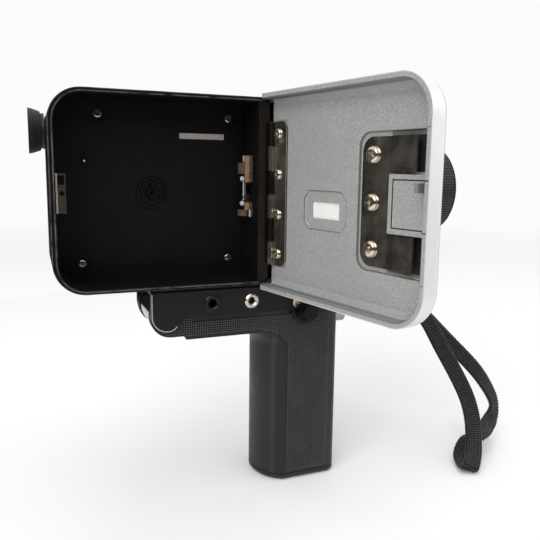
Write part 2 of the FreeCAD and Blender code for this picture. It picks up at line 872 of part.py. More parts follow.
hinge_z = body_low + d.hinge_mid


def hinge():
    """Body leaf on the chamber rim, door leaf in the door's floor, and their pin."""
    bore = d.hinge_pin_radius + d.hinge_fit
    whole = (hinge_z - 3 * d.knuckle_length - 1, 6 * d.knuckle_length + 2)
    hole = rod("z", (d.hinge_x, hinge_y, whole[0]), bore, whole[1])
    plate_y = (rim_y - d.leaf_thick, rim_y)
    body_leaf = [block(
        (chamber_front, chamber_front + d.body_leaf_width), plate_y,
        (tongue_side[1] + 0.4, tongue_side[2] - 0.4), "y", ALL_CORNERS, d.leaf_thick,
    )]
    for start, length in knuckles(1):
        body_leaf.append(rod("z", (d.hinge_x, hinge_y, start), d.knuckle_radius, length))
        body_leaf.append(box(
            (chamber_front + d.body_leaf_width - 1, d.hinge_x),
            (rim_y - d.leaf_thick, rim_y - d.leaf_thick + 0.4), (start, start + length),
        ))
        body_leaf.append(box(
            (d.hinge_x - d.knuckle_radius, d.hinge_x), (hinge_y, rim_y - d.leaf_thick + 0.4),
            (start, start + length),
        ))
    sub_part("hinge_body_leaf", cut(fuse(*body_leaf), hole))

    outer = hinge_y - d.knuckle_radius
    half = 3 * d.knuckle_length
    door_leaf = [block(
        (d.hinge_x - d.leaf_width, d.hinge_x - d.knuckle_radius - d.hinge_fit * 4),
        (outer, outer + d.leaf_thick),
        (hinge_z - half, hinge_z + half), "y", REAR_CORNERS, d.leaf_corner,
    )]
    for start, length in knuckles(0):
        door_leaf.append(rod("z", (d.hinge_x, hinge_y, start), d.knuckle_radius, length))
        door_leaf.append(box(
            (d.hinge_x - d.knuckle_radius - 1, d.hinge_x), (outer, outer + d.leaf_thick),
            (start, start + length),
        ))
    holes = [hole]
    for z in leaf_screw_heights():
        place = (d.hinge_x - d.leaf_screw_back, outer - 1, z)
        holes.append(rod("y", place, d.screw_shank, d.leaf_thick + 2))
    door_piece("door_hinge_leaf", cut(fuse(*door_leaf), *holes))
    sub_part("hinge_pin", rod(
        "z", (d.hinge_x, hinge_y, hinge_z - half), d.hinge_pin_radius, 2 * half
    ))


def leaf_screw_heights():
    return [hinge_z + d.leaf_screw_pitch * (number - 1.5) for number in range(4)]


def door_piece(name, thing):
    """A piece drawn with the door shut, turned open about the hinge line."""
    holder = document.addObject("Part::Compound", "Opened")
    holder.Links = [thing]
    open_pieces.append(holder)
    return sub_part(name, holder)


open_pieces = []


def door():
    """Film door: dished shell with window, latch housing and let-in plates."""
    closed_rim = tongue_y - d.seam_gap
    outer = -d.half_width
    shell = block(
        (cover_rear, d.hinge_x + d.door_ear), (outer, closed_rim), (cover_low, cover_high),
        "y", REAR_CORNERS, cover_corner,
    )
    dress(shell, "Fillet", d.ear_round, runs_along_z_at(d.hinge_x + d.door_ear, closed_rim))
    dress(shell, "Fillet", d.edge_round, lies_at("y", outer))
    floor = outer + d.skin_wall
    hollow = block(
        (cover_rear + d.flange_wall, d.hinge_x + d.door_ear + 1), (floor, closed_rim + 1),
        (cover_low + d.flange_wall, cover_high - d.flange_wall),
        "y", REAR_CORNERS, cover_corner - d.flange_wall,
    )
    dress(hollow, "Chamfer", d.slope, lies_at("y", floor))
    tools = [hollow]
    tools.append(box(
        (d.hinge_x + d.door_skin, d.hinge_x + d.door_ear + 1), (outer - 1, closed_rim + 1),
        (cover_low + d.flange_wall, cover_high - d.flange_wall),
    ))
    tools.append(box(
        (d.hinge_x - d.leaf_width - d.pocket_edge, d.hinge_x + d.door_ear + 1),
        (floor - d.leaf_sink, closed_rim + 1),
        (hinge_z - 3 * d.knuckle_length - d.pocket_edge, hinge_z + 3 * d.knuckle_length + d.pocket_edge),
    ))
    tools.append(box(
        (d.hinge_x - d.knuckle_radius - 0.6, d.hinge_x + d.door_ear + 1),
        (hinge_y - d.knuckle_radius - 0.35, closed_rim + 1),
        (cover_low + d.flange_wall, cover_high - d.flange_wall),
    ))
    for z in leaf_screw_heights():
        tools.append(rod("y", (d.hinge_x - d.leaf_screw_back, outer + 0.6, z), d.screw_shank, d.skin_wall))
    tools += window_cuts(outer, floor)
    flange = cover_rear + d.flange_wall
    channel = block(
        (flange + d.slope, d.hinge_x - d.spring_front + d.spring_margin),
        (floor - d.spring_sink, floor + 1),
        (body_low + d.spring_low - d.spring_margin, body_low + d.spring_high + d.spring_margin),
        "y", FRONT_CORNERS, d.spring_corner,
    )
    tools.append(channel)
    for low in spring_arm_places():
        tools.append(box(
            (flange + d.slope, d.hinge_x - d.spring_bend - d.spring_margin),
            (floor - d.spring_sink - d.spring_well, floor + 1), (low, low + d.spring_arm),
        ))
    for z in spring_screw_heights():
        tools.append(rod("y", (d.hinge_x - d.spring_screw_x, outer + 0.6, z), d.screw_shank, d.skin_wall))
    pad = block(
        (flange - 0.2, d.hinge_x - d.latch_front),
        (floor - d.spring_sink - d.spring_well - 0.1, floor + d.latch_rise),
        latch_z, "y",
    )
    door_shell = fuse(cut(shell, *tools), pad)
    door_piece("door_shell", cut(door_shell, *latch_cuts(outer, floor)))
    pane = box(
        (window_mid_x - d.window_length / 2 - d.window_lip + d.fit, window_mid_x + d.window_length / 2
         + d.window_lip - d.fit),
        (outer, outer + d.window_pane),
        (window_mid_z - d.window_height / 2 - d.window_lip + d.fit, window_mid_z + d.window_height / 2
         + d.window_lip - d.fit),
    )
    door_piece("door_window", pane)


window_mid_x = d.hinge_x - d.window_x
window_mid_z = body_low + d.window_mid


def runs_along_z_at(x, y):
    return runs_along("z", (x, y))


def window_cuts(outer, floor):
    """The window, its pane's seat outside and its bevelled recess inside."""
    half_x = d.window_length / 2
    half_z = d.window_height / 2
    opening = box(
        (window_mid_x - half_x, window_mid_x + half_x), (outer - 1, floor + 1),
        (window_mid_z - half_z, window_mid_z + half_z),
    )
    seat = box(
        (window_mid_x - half_x - d.window_lip, window_mid_x + half_x + d.window_lip),
        (outer - 1, outer + d.window_pane),
        (window_mid_z - half_z - d.window_lip, window_mid_z + half_z + d.window_lip),
    )
    recess = block(
        (window_mid_x - half_x - d.window_border, window_mid_x + half_x + d.window_border),
        (floor - d.window_sink, floor + 1),
        (window_mid_z - half_z - d.window_border, window_mid_z + half_z + d.window_border), "y",
    )
    dress(recess, "Chamfer", d.window_corner, runs_along("y"))
    dress(recess, "Chamfer", d.window_bevel, lies_at("y", floor - d.window_sink))
    return [opening, seat, recess]


def spring_screw_heights():
    middle = body_low + (d.spring_low + d.spring_high) / 2
    return [middle + d.spring_screw_pitch * (number - 1) for number in range(3)]


def spring_arm_places():
    return (body_low + d.spring_low, body_low + d.spring_high - d.spring_arm)


def cartridge_spring():
    """U-shaped spring plate: flat back, two arms that rise to a crest near their ends."""
    seat = -d.half_width + d.skin_wall - d.spring_sink
    front = d.hinge_x - d.spring_front
    bend = d.hinge_x - d.spring_bend
    crest = d.hinge_x - d.spring_peak
    end = d.hinge_x - d.spring_back
    low = body_low + d.spring_low
    high = body_low + d.spring_high
    plate = block(
        (bend, front), (seat, seat + d.spring_thick), (low, high), "y", FRONT_CORNERS, d.spring_corner
    )
    pieces = [plate]
    rise = d.spring_rise
    arm = [
        (bend + 0.5, seat), (bend + 0.5, seat + d.spring_thick), (bend, seat + d.spring_thick),
        (crest, seat + d.spring_thick + rise), (end, seat + d.spring_thick + rise - d.spring_dip),
        (end, seat + rise - d.spring_dip), (crest, seat + rise), (bend, seat),
    ]
    for start in spring_arm_places():
        pieces.append(prism("z", arm, start, start + d.spring_arm))
    holes = [
        rod("y", (d.hinge_x - d.spring_screw_x, seat - 1, z), d.screw_shank, d.spring_thick + 2)
        for z in spring_screw_heights()
    ]
    door_piece("cartridge_spring", cut(fuse(*pieces), *holes))
    leaf_top = hinge_y - d.knuckle_radius + d.leaf_thick
    screws = []
    for z in leaf_screw_heights():
        place = (d.hinge_x - d.leaf_screw_back, leaf_top, z)
        screws.append(slotted_screw(
            "y", 1, place, d.leaf_head, d.leaf_head_rise, d.screw_shank - d.fit, d.leaf_thick + 1
        ))
    for z in spring_screw_heights():
        place = (d.hinge_x - d.spring_screw_x, seat + d.spring_thick, z)
        screws.append(slotted_screw(
            "y", 1, place, d.spring_head, d.leaf_head_rise, d.screw_shank - d.fit,
            d.spring_thick + d.skin_wall - d.spring_sink - 0.7,
        ))
    door_piece("door_screws", group(*screws))


latch_z = (spring_arm_places()[0] + d.spring_arm + d.latch_gap, spring_arm_places()[1] - d.latch_gap)
latch_mid = (latch_z[0] + latch_z[1]) / 2
hook_z = body_low + d.latch_hook_height
bolt_low = -d.half_width + d.latch_tab_rise + 0.7
bolt_y = (bolt_low, bolt_low + d.latch_bolt_thick)
post_x = body_rear + d.core_wall + d.strike_thick + d.latch_fit
tab_x = (post_x + d.latch_nose + 0.6, post_x + d.latch_nose + 0.6 + d.latch_tab_length)


def latch_cuts(outer, floor):
    """Room for the slide in the latch housing, and the fine groove round the housing's lid."""
    half = d.latch_bolt_width / 2 + d.latch_fit
    gap = d.latch_fit
    way = box(
        (post_x - gap, tab_x[1] + d.latch_travel + gap),
        (bolt_y[0] - gap, bolt_y[1] + gap), (latch_mid - half, latch_mid + half),
    )
    tab = box(
        (tab_x[0] - gap, tab_x[1] + d.latch_travel + gap), (outer - 1, bolt_y[0]),
        (latch_mid - d.latch_tab_width / 2 - gap, latch_mid + d.latch_tab_width / 2 + gap),
    )
    post = box(
        (post_x - gap, post_x + d.latch_nose + d.latch_travel + gap),
        (bolt_y[0], floor + d.latch_rise + 1),
        (hook_z - d.latch_hook / 2 - gap, hook_z + d.latch_hook / 2 + gap),
    )
    lid_x = (post_x + d.latch_nose + gap, d.hinge_x - d.latch_front - d.latch_border)
    lid_z = (latch_z[0] + d.latch_border, latch_z[1] - d.latch_border)
    top = floor + d.latch_rise
    line = d.latch_line
    lid = box(
        (lid_x[0] + line, lid_x[1] - line), (top - 2 * line, top + 2), (lid_z[0] + line, lid_z[1] - line)
    )
    groove = cut(box(lid_x, (top - line, top + 1), lid_z), lid)
    return [way, tab, post, groove]


def latch_slide():
    """Latch slide, unlocked: finger piece outside, hook that goes through the strike plate's notch."""
    half = d.latch_bolt_width / 2
    catch = rim_y + d.strike_depth + d.strike_thick + d.latch_fit
    stem = box((post_x, tab_x[1]), bolt_y, (latch_mid - half, latch_mid + half))
    tab = box(
        tab_x, (-d.half_width + 0.1, bolt_y[0] + 0.2),
        (latch_mid - d.latch_tab_width / 2, latch_mid + d.latch_tab_width / 2),
    )
    grooves = [
        box(
            (tab_x[0] + 1.5 * number, tab_x[0] + 1.5 * number + 0.6), (-d.half_width, -d.half_width + 0.5),
            (latch_mid - d.latch_tab_width, latch_mid + d.latch_tab_width),
        )
        for number in range(1, 5)
    ]
    width = (hook_z - d.latch_hook / 2, hook_z + d.latch_hook / 2)
    post = box((post_x, post_x + d.latch_nose), (bolt_y[0], catch + d.latch_nose), width)
    hook = box(
        (post_x + d.latch_nose - 0.1, post_x + d.latch_nose + d.latch_hook_reach),
        (catch, catch + d.latch_nose), width,
    )
    door_piece("latch_slide", fuse(cut(fuse(stem, tab), *grooves), post, hook))


def left_cover():
    """Silver cover over the mechanism, with holes for the dials, the switch and the counter."""
    x = (body_rear, d.front_x)
    y = (d.left_seam, d.half_width)
    low = body_low
    high = body_high
    shell = block(x, y, (low, high), "y", REAR_CORNERS, d.corner_radius)
    dress(shell, "Fillet", d.front_radius, runs_along("y", (x[1], low), (x[1], high)))
    dress(shell, "Fillet", d.edge_round, lies_at("y", d.half_width))
    skin = d.half_width - d.skin_wall
    wall = d.flange_wall
    hollow = block(
        (x[0] + wall, x[1] - wall), (y[0] - 1, skin), (low + wall, high - wall),
        "y", REAR_CORNERS, d.corner_radius - wall,
    )
    dress(hollow, "Fillet", d.front_radius - wall,
          runs_along("y", (x[1] - wall, low + wall), (x[1] - wall, high - wall)))
    dress(hollow, "Chamfer", d.edge_round - wall + 0.4, lies_at("y", skin))
    tools = [hollow]
    for dial_x in (d.speed_dial_x, d.exposure_dial_x):
        tools.append(rod("y", (dial_x, skin - 1, dial_z), d.dial_stem + d.fit, d.skin_wall + 2))
    tools.append(box(
        (d.switch_x - 2 - d.latch_fit, d.switch_x + 2 + d.switch_travel + d.latch_fit),
        (skin - 1, d.half_width + 1), (switch_z - 1.5 - d.latch_fit, switch_z + 1.5 + d.latch_fit),
    ))
    tools.append(block(
        (d.counter_x - d.counter_length / 2, d.counter_x + d.counter_length / 2),
        (d.half_width - d.pane_thick, d.half_width + 1),
        (counter_z - d.counter_width / 2, counter_z + d.counter_width / 2), "y", ALL_CORNERS, 1.2,
    ))
    sub_part("left_cover", cut(shell, *tools))
    sub_part("counter_window", block(
        (d.counter_x - d.counter_length / 2 + d.fit, d.counter_x + d.counter_length / 2 - d.fit),
        (d.half_width - d.pane_thick + d.fit, d.half_width),
        (counter_z - d.counter_width / 2 + d.fit, counter_z + d.counter_width / 2 - d.fit),
        "y", ALL_CORNERS, 1.2,
    ))


dial_z = body_low + d.dial_height
switch_z = body_low + d.switch_height
counter_z = body_low + d.counter_height


def side_controls():
    """Two dials with stems and a sliding power switch on the left cover."""
    for name, x in (("speed_dial", d.speed_dial_x), ("exposure_dial", d.exposure_dial_x)):
        low = d.half_width + d.dial_gap
        high = low + d.dial_rise
        inner = d.half_width - d.skin_wall - 1.2
        sub_part(name, turned("y", (x, 0, dial_z), [
            (inner, 0), (inner, d.dial_stem), (low, d.dial_stem), (low, d.dial_radius),
            (high - 0.6, d.dial_radius), (high, d.dial_radius - 0.6), (high, 0),
        ]))
    top = d.half_width + d.dial_gap
    inner = d.half_width - d.skin_wall - 1
    stem = box((d.switch_x - 2, d.switch_x + 2), (inner, top + 0.2), (switch_z - 1.5, switch_z + 1.5))
    knob = block(
        (d.switch_x - d.switch_length / 2, d.switch_x + d.switch_length / 2), (top, top + d.switch_rise),
        (switch_z - d.switch_width / 2, switch_z + d.switch_width / 2), "y", ALL_CORNERS, 1.5,
    )
    grooves = [
        rod("z", (d.switch_x + 2 * number, top + d.switch_rise + 0.2, switch_z - d.switch_width), 0.7,
            2 * d.switch_width)
        for number in (-2, -1, 0, 1, 2)
    ]
    sub_part("power_switch", fuse(cut(knob, *grooves), stem))


def front_housing():
    """Black frame round the lens: top, underside and front wall."""
    x = (d.hinge_x, d.front_x)
    y = (tongue_y, d.left_seam)
    core = block(x, y, (body_low, body_high), "y", FRONT_CORNERS, d.front_radius)
    wall = d.core_wall
    hollow = block(
        (x[0] - 1, x[1] - wall), (y[0] - 1, y[1] + 1), (body_low + wall, body_high - wall),
        "y", FRONT_CORNERS, d.front_radius - wall,
    )
    tools = [hollow, rod("x", (d.front_x - wall - 1, optic_y, optic_z), d.barrel_radius + d.fit, wall + 2)]
    tools.append(box(
        (d.front_x - wall - 1, d.front_x + 1),
        (d.eye_y - d.finder_window_width / 2, d.eye_y + d.finder_window_width / 2 - 2),
        (eye_z - d.finder_window_high / 2, eye_z + d.finder_window_high / 2),
    ))
    tools.append(box(
        (d.trigger_x - d.trigger_travel - d.latch_fit, d.trigger_x + d.trigger_depth + d.latch_fit),
        (-d.trigger_width / 2 - d.latch_fit, d.trigger_width / 2 + d.latch_fit),
        (body_low - 1, body_low + wall + 1),
    ))
    tools.append(box(
        (d.rocker_x - d.rocker_length / 2 - 0.5, d.rocker_x + d.rocker_length / 2 + 0.5),
        (-d.rocker_width / 2 - d.latch_fit, d.rocker_width / 2 + d.latch_fit),
        (body_high - wall - 1, body_high + 1),
    ))
    bearers = [
        box(
            (d.rocker_x - 1.8, d.rocker_x + 1.8), (side, side + 1.5),
            (body_high - wall - 3, body_high - wall),
        )
        for side in (-d.rocker_width / 2 - 1.8, d.rocker_width / 2 + 0.3)
    ]
    pin_hole = rod(
        "y", (d.rocker_x, -d.rocker_width, rocker_z), d.rocker_pivot + d.fit, 2 * d.rocker_width
    )
    sub_part("front_housing", cut(fuse(cut(core, *tools), *bearers), pin_hole))
    sub_part("finder_window", box(
        (d.front_x - d.pane_thick, d.front_x - 0.1),
        (d.eye_y - d.finder_window_width / 2 + d.fit, d.eye_y + d.finder_window_width / 2 - 2 - d.fit),
        (eye_z - d.finder_window_high / 2 + d.fit, eye_z + d.finder_window_high / 2 - d.fit),
    ))


rocker_z = body_high - d.core_wall - 1.6


def right_front_cover():
    """Silver cover beside the lens, in line with the shut film door."""
    x = (d.hinge_x + d.door_ear + 2.7, d.front_x)
    y = (-d.half_width, tongue_y)
    shell = block(x, y, (cover_low, cover_high), "y", FRONT_CORNERS, d.front_radius)
    dress(shell, "Fillet", d.edge_round, lies_at("y", -d.half_width))
    skin = -d.half_width + d.skin_wall
    wall = d.flange_wall
    hollow = block(
        (x[0] + wall, x[1] - wall), (skin, y[1] + 1), (cover_low + wall, cover_high - wall),
        "y", FRONT_CORNERS, d.front_radius - wall,
    )
    dress(hollow, "Chamfer", d.edge_round - wall + 0.4, lies_at("y", skin))
    lens = rod("x", (x[1] - wall - 3, optic_y, optic_z), d.barrel_radius + d.fit, wall + 5)
    flange = rod("x", (x[0] - 1, optic_y, optic_z), d.barrel_radius + d.barrel_rib + d.fit, x[1] - x[0] - wall)
    sub_part("right_front_cover", cut(shell, hollow, lens, flange))


def finder():
    """Finder tube from the eyepiece to the front, its lens, the dioptre ring and the eyecup."""
    rear = body_rear
    inner = d.finder_radius - d.finder_wall
    neck = rear - d.diopter_length + 0.4
    front = d.front_x - d.core_wall - d.seam_gap
    sub_part("finder_tube", turned("x", (0, d.eye_y, eye_z), [
        (neck, d.finder_neck), (neck, d.diopter_bore - d.fit), (rear, d.diopter_bore - d.fit),
        (rear, d.finder_radius), (front, d.finder_radius), (front, inner),
        (rear + 0.6, inner), (rear + 0.6, d.finder_neck),
    ]))
    sub_part("eyepiece_lens", turned("x", (0, d.eye_y, eye_z), [
        (rear + 1, 0), (rear + 1.5, inner / 2), (rear + 2.5, inner - d.fit), (rear + 2.5 + d.pane_thick, inner - d.fit),
        (rear + 5, inner / 2), (rear + 5.4, 0),
    ]))
    back = rear - d.diopter_length
    face = rear - d.seam_gap
    tail = d.diopter_radius - d.diopter_taper
    sub_part("diopter_ring", turned("x", (0, d.eye_y, eye_z), [
        (back, d.diopter_bore), (back, tail), (face, d.diopter_radius), (face, d.diopter_bore),
    ]))
    lip = 1.4
    lip_radius = tail + d.diopter_taper * lip / (face - back)
    tip = rear - d.eye_reach
    wall = d.eye_wall
    sub_part("eyecup", turned("x", (0, d.eye_y, eye_z), [
        (tip, d.eye_flare - wall * 0.6), (tip, d.eye_flare), (tip + 1.8, d.eye_flare - 0.4),
        (back + lip - 0.2, d.eye_neck + 0.2), (back + lip, lip_radius), (back, tail),
        (back, d.diopter_bore), (back - 1, d.diopter_bore), (tip + 1.8, d.eye_flare - wall - 1),
    ]))


def lens():
    """Lens barrel, its rings and its glasses, all round the optical axis."""
    axis = (0, optic_y, optic_z)
    plate_front = d.plate_x + d.plate_thick
    neck_end = focus_start + 3
    rear = d.barrel_rear
    sub_part("lens_barrel", turned("x", axis, [
        (plate_front, d.barrel_bore), (plate_front, d.barrel_radius + d.barrel_rib),
        (rear + 1.5, d.barrel_radius + d.barrel_rib),
        (rear + 1.5, d.barrel_radius), (d.front_x, d.barrel_radius), (d.front_x, d.collar_radius),
        (d.front_x + d.collar_thick - 0.6, d.collar_radius), (d.front_x + d.collar_thick, d.collar_radius - 0.6),
        (d.front_x + d.collar_thick, d.barrel_neck), (neck_end, d.barrel_neck), (neck_end, d.barrel_bore),
    ]))
    sub_part("rear_lens", lens_glass(
        d.rear_lens_x, d.barrel_bore, d.rear_lens_edge, d.rear_lens_crown, d.barrel_bore - 3.4
    ))
    zoom_rear = d.zoom_lens_x - d.zoom_lens_edge / 2
    zoom_front = d.zoom_lens_x + d.zoom_lens_edge / 2
    edge = d.barrel_bore - d.zoom_lens_fit
    sub_part("zoom_lens_group", turned("x", axis, [
        (zoom_rear - 1, 0), (zoom_rear - 0.2, d.barrel_bore / 2), (zoom_rear + 1, edge - 1.3),
        (zoom_rear + 1, edge), (zoom_front + 1, edge), (zoom_front + 1, edge - 1.3),
        (zoom_front + 0.2, d.barrel_bore / 2), (zoom_front, 0),
    ]))
    zoom_end = d.zoom_start + d.zoom_length
    seat = d.barrel_neck + d.fit
    ring = turned("x", axis, [
        (d.zoom_start, seat), (d.zoom_start, d.zoom_radius - 0.8), (d.zoom_start + 0.8, d.zoom_radius),
        (zoom_end - 0.8, d.zoom_radius), (zoom_end, d.zoom_radius - 0.8), (zoom_end, seat),
    ])
    lever = rod(
        "z", (d.zoom_start + d.zoom_length / 2, optic_y, optic_z + d.zoom_radius - 1), d.zoom_lever,
        d.zoom_lever_rise + 1,
    )
    sub_part("zoom_ring", fuse(ring, lever))
    shoulder = neck_end + d.ring_gap
    sub_part("focus_ring", turned("x", axis, [
        (focus_start, seat), (focus_start, d.focus_radius - 2), (focus_start + 2, d.focus_radius),
        (focus_end - 0.5, d.focus_radius), (focus_end, d.focus_radius - 0.5), (focus_end, d.focus_inner),
        (shoulder, d.focus_inner), (shoulder, seat),
    ]))
    bezel_rear = lens_front - d.bezel_length
    sub_part("front_bezel", turned("x", axis, [
        (bezel_rear, d.bezel_throat), (bezel_rear, d.focus_inner), (focus_end, d.focus_inner),
        (focus_end, d.focus_radius - 1), (lens_front - 0.5, d.focus_radius - 1),
        (lens_front, d.focus_radius - 1.5), (lens_front, d.filter_radius),
        (lens_front - d.filter_length, d.filter_radius), (lens_front - d.filter_length, d.filter_radius - d.bezel_wall),
    ]))
    sub_part("front_glass", lens_glass(
        bezel_rear - d.glass_edge, d.focus_inner, d.glass_edge, d.glass_crown, d.bezel_throat - 0.2
    ))


def lens_glass(start, radius, edge, crown, dome):
    """A glass with a domed front, on the optical axis."""
    start = as_size(start)
    return turned("x", (0, optic_y, optic_z), [
        (start, 0), (start, radius), (start + edge, radius), (start + edge, dome),
        (start + edge + crown * 0.45, radius * 0.55), (start + edge + crown * 0.9, radius * 0.25),
        (start + edge + crown, 0),
    ])


motor_z = body_low + d.motor_height
shutter_reach = (d.pinion_teeth + d.shutter_teeth) * d.tooth_module / 2
shutter_z = motor_z + root(shutter_reach * shutter_reach - (d.motor_y - d.shutter_y) * (d.motor_y - d.shutter_y))


def toothed(teeth, module, width, bore, turn):
    """A spur gear's solid about X: straight-sided teeth from its tooth count and module."""
    count = int(round(teeth.number))
    pitch = count * module.number / 2
    crest = pitch + module.number - d.tooth_gap.number
    foot = pitch - module.number * 1.25
    step = 2 * math.pi / count
    points = []
    for number in range(count):
        middle = number * step + turn
        for radius, share in ((foot, -0.33), (crest, -0.14), (crest, 0.14), (foot, 0.33)):
            angle = middle + share * step
            points.append(Vector(0, radius * math.cos(angle), radius * math.sin(angle)))
    face = Part.Face(Part.makePolygon(points + points[:1]))
    gear = face.extrude(Vector(width.number, 0, 0))
    if bore:
        gear = gear.cut(Part.makeCylinder(bore.number, width.number, Vector(), Vector(1, 0, 0)))
    return gear


def drive():
    """Motor, its shaft with pinion and worm, shutter with its gear, take-up hub and wheel."""
    rear = body_rear + d.core_wall + 0.6
    motor_end = rear + d.motor_length
    can = rod("x", (rear, d.motor_y, motor_z), d.motor_radius, d.motor_length)
    boss = rod("x", (motor_end - 0.5, d.motor_y, motor_z), 2.5, 1.7)
    bore = rod("x", (motor_end - 6, d.motor_y, motor_z), d.motor_shaft + d.fit, 8)
    sub_part("motor", cut(fuse(can, boss), bore))

    pinion_x = d.gear_x - (d.pinion_width - d.gear_width) / 2
    end = pinion_x + d.pinion_width + 1
    shaft = rod("x", (motor_end - 5, d.motor_y, motor_z), d.motor_shaft, end - motor_end + 5)
    worm = rod("x", (hub_x - d.worm_length / 2, d.motor_y, motor_z), d.worm_radius, d.worm_length)
    across = math.atan2(
        (shutter_z - motor_z).number, (d.shutter_y - d.motor_y).number
    )
    half_pinion = math.pi / d.pinion_teeth.number
    pinion = put(
        shaped(toothed(d.pinion_teeth, d.tooth_module, d.pinion_width, None, across + half_pinion)),
        pinion_x, d.motor_y, motor_z,
    )
    sub_part("motor_shaft", fuse(shaft, worm, pinion))

    gear = put(
        shaped(toothed(d.shutter_teeth, d.tooth_module, d.gear_width, None, across + math.pi)),
        d.gear_x, d.shutter_y, shutter_z,
    )
    shaft = rod(
        "x", (d.shutter_x - 0.5, d.shutter_y, shutter_z), d.shutter_shaft,
        d.plate_x + d.plate_thick - d.shutter_x + 0.3,
    )
    sub_part("shutter_gear", fuse(gear, shaft))
    disc = rod("x", (d.shutter_x, d.shutter_y, shutter_z), d.shutter_radius, d.shutter_thick)
    sector = prism("x", [
        (d.shutter_y, shutter_z - d.shutter_shaft - 1.5),
        (d.shutter_y + d.shutter_radius + 2, shutter_z - d.shutter_radius),
        (d.shutter_y + d.shutter_radius + 2, shutter_z + d.shutter_radius),
        (d.shutter_y, shutter_z + d.shutter_radius + 2),
    ], d.shutter_x - 1, d.shutter_x + 1)
    hub = rod("x", (d.shutter_x, d.shutter_y, shutter_z), d.shutter_shaft + 2, d.shutter_thick)
    bore = rod("x", (d.shutter_x - 1, d.shutter_y, shutter_z), d.shutter_shaft, 3)
    sub_part("shutter_disc", cut(fuse(cut(disc, sector), hub), bore))

    plate = box(
        (d.plate_x, d.plate_x + d.plate_thick), (tongue_y + 0.3, d.left_seam - 0.3),
        (body_low + d.core_wall, body_low + d.plate_high),
    )
    holes = [
        rod("x", (d.plate_x - 1, d.shutter_y, shutter_z), d.shutter_shaft + d.fit, d.plate_thick + 2),
        rod("x", (d.plate_x - 1, optic_y, optic_z), d.light_bore, d.plate_thick + 2),
    ]
    sub_part("mechanism_plate", cut(plate, *holes))
    take_up()


def take_up():
    """Take-up hub with three driving dogs, and the wheel behind the chamber floor."""
    face = floor_y - 0.3
    seat = floor_y + hub_seat - 0.25
    dish = turned("y", (hub_x, 0, hub_z), [
        (seat, 0), (seat, d.hub_radius), (face, d.hub_radius), (face, d.hub_radius - 1.2),
        (face + 0.6, d.hub_radius - 1.6), (face + 0.6, 2.6), (face - 1.6, 2.2), (face - 1.6, 1.2), (face - 0.4, 0),
    ])
    dogs = [
        box(
            (hub_x - 0.5, hub_x + 0.5), (face - 1.0, face + 0.8), (hub_z + 2.0, hub_z + 4.2)
        ),
        box(
            (hub_x - 4.2, hub_x - 2.0), (face - 1.0, face + 0.8), (hub_z - 0.5, hub_z + 0.5)
        ),
        box(
            (hub_x + 2.0, hub_x + 4.2), (face - 1.0, face + 0.8), (hub_z - 0.5, hub_z + 0.5)
        ),
    ]
    shaft = rod("y", (hub_x, seat - 0.1, hub_z), d.hub_shaft, d.motor_y + d.wheel_width - seat)
    sub_part("take_up_hub", fuse(dish, *dogs, shaft))
    low = d.motor_y - d.wheel_width / 2
    wheel = rod("y", (hub_x, low, hub_z), d.take_up_wheel, d.wheel_width)
    holes = [rod("y", (hub_x, low - 1, hub_z), d.hub_shaft, d.wheel_width + 2)]
    count = int(round(d.wheel_teeth.number))
    for number in range(0, count, 12):
        angle = 2 * math.pi * number / count
        holes.append(rod(
            "y", (hub_x + d.take_up_wheel * 0.6 * math.cos(angle), low - 1,
                  hub_z + d.take_up_wheel * 0.6 * math.sin(angle)), 3.0, d.wheel_width + 2,
        ))
    sub_part("take_up_wheel", cut(wheel, *holes))


def circuit_board():
    low = body_low + d.board_low
    y = bay_y + d.board_gap
    board = box((d.board_x - d.board_length, d.board_x), (y, y + d.board_thick), (low, low + d.board_height * 0.55))
    top = y + d.board_thick
    pieces = [board]
    for number in range(3):
        pieces.append(rod("y", (d.board_x - 5 - 7 * number, top, low + 5), 2.4, 4.5))
    pieces.append(box((d.board_x - 22, d.board_x - 8), (top, top + 2.4), (low + 10, low + 15)))
    sub_part("circuit_board", fuse(*pieces))


def rocker():
    """Zoom rocker on the top, with its pivot pin."""
    half = d.rocker_length / 2
    high = body_high + d.rocker_rise
    low = body_high - d.core_wall + 0.9
    profile = [
        (d.rocker_x - half, body_high + 0.2), (d.rocker_x - half, high), (d.rocker_x - half + 5, high + 0.3),
        (d.rocker_x, high - 0.7), (d.rocker_x + half - 5, high + 0.3), (d.rocker_x + half, high),
        (d.rocker_x + half, body_high + 0.2), (d.rocker_x + 4, low), (d.rocker_x - 4, low),
    ]
    top = prism("y", profile, -d.rocker_width / 2, d.rocker_width / 2)
    foot = box(
        (d.rocker_x - 1.8, d.rocker_x + 1.8), (-d.rocker_width / 2, d.rocker_width / 2),
        (rocker_z - 1.4, low + 0.3),
    )
    pin = rod("y", (d.rocker_x, -d.rocker_width / 2 - 1.6, rocker_z), d.rocker_pivot, d.rocker_width + 3.2)
    sub_part("zoom_rocker", fuse(top, foot, pin))


def trigger():
    """Hanging trigger with a hollow for the finger; its head slides in the housing."""
    half = d.trigger_width / 2
    low = body_low - d.trigger_drop
    x = (d.trigger_x, d.trigger_x + d.trigger_depth)
    blade = block(x, (-half, half), (low, body_low + d.core_wall + 0.6), "x", (), None)
    dress(blade, "Fillet", half - 0.2, runs_along("x", (-half, low), (half, low)))
    hollow = rod(
        "y", (x[1] + d.trigger_hollow - 1.8, -half - 1, body_low - d.trigger_drop * 0.5),
        d.trigger_hollow, d.trigger_width + 2,
    )
    head = box(
        (x[0], x[1]), (-half - 2, half + 2),
        (body_low + d.core_wall + 0.3, body_low + d.core_wall + d.trigger_head),
    )
    sub_part("trigger", fuse(cut(blade, hollow), head))


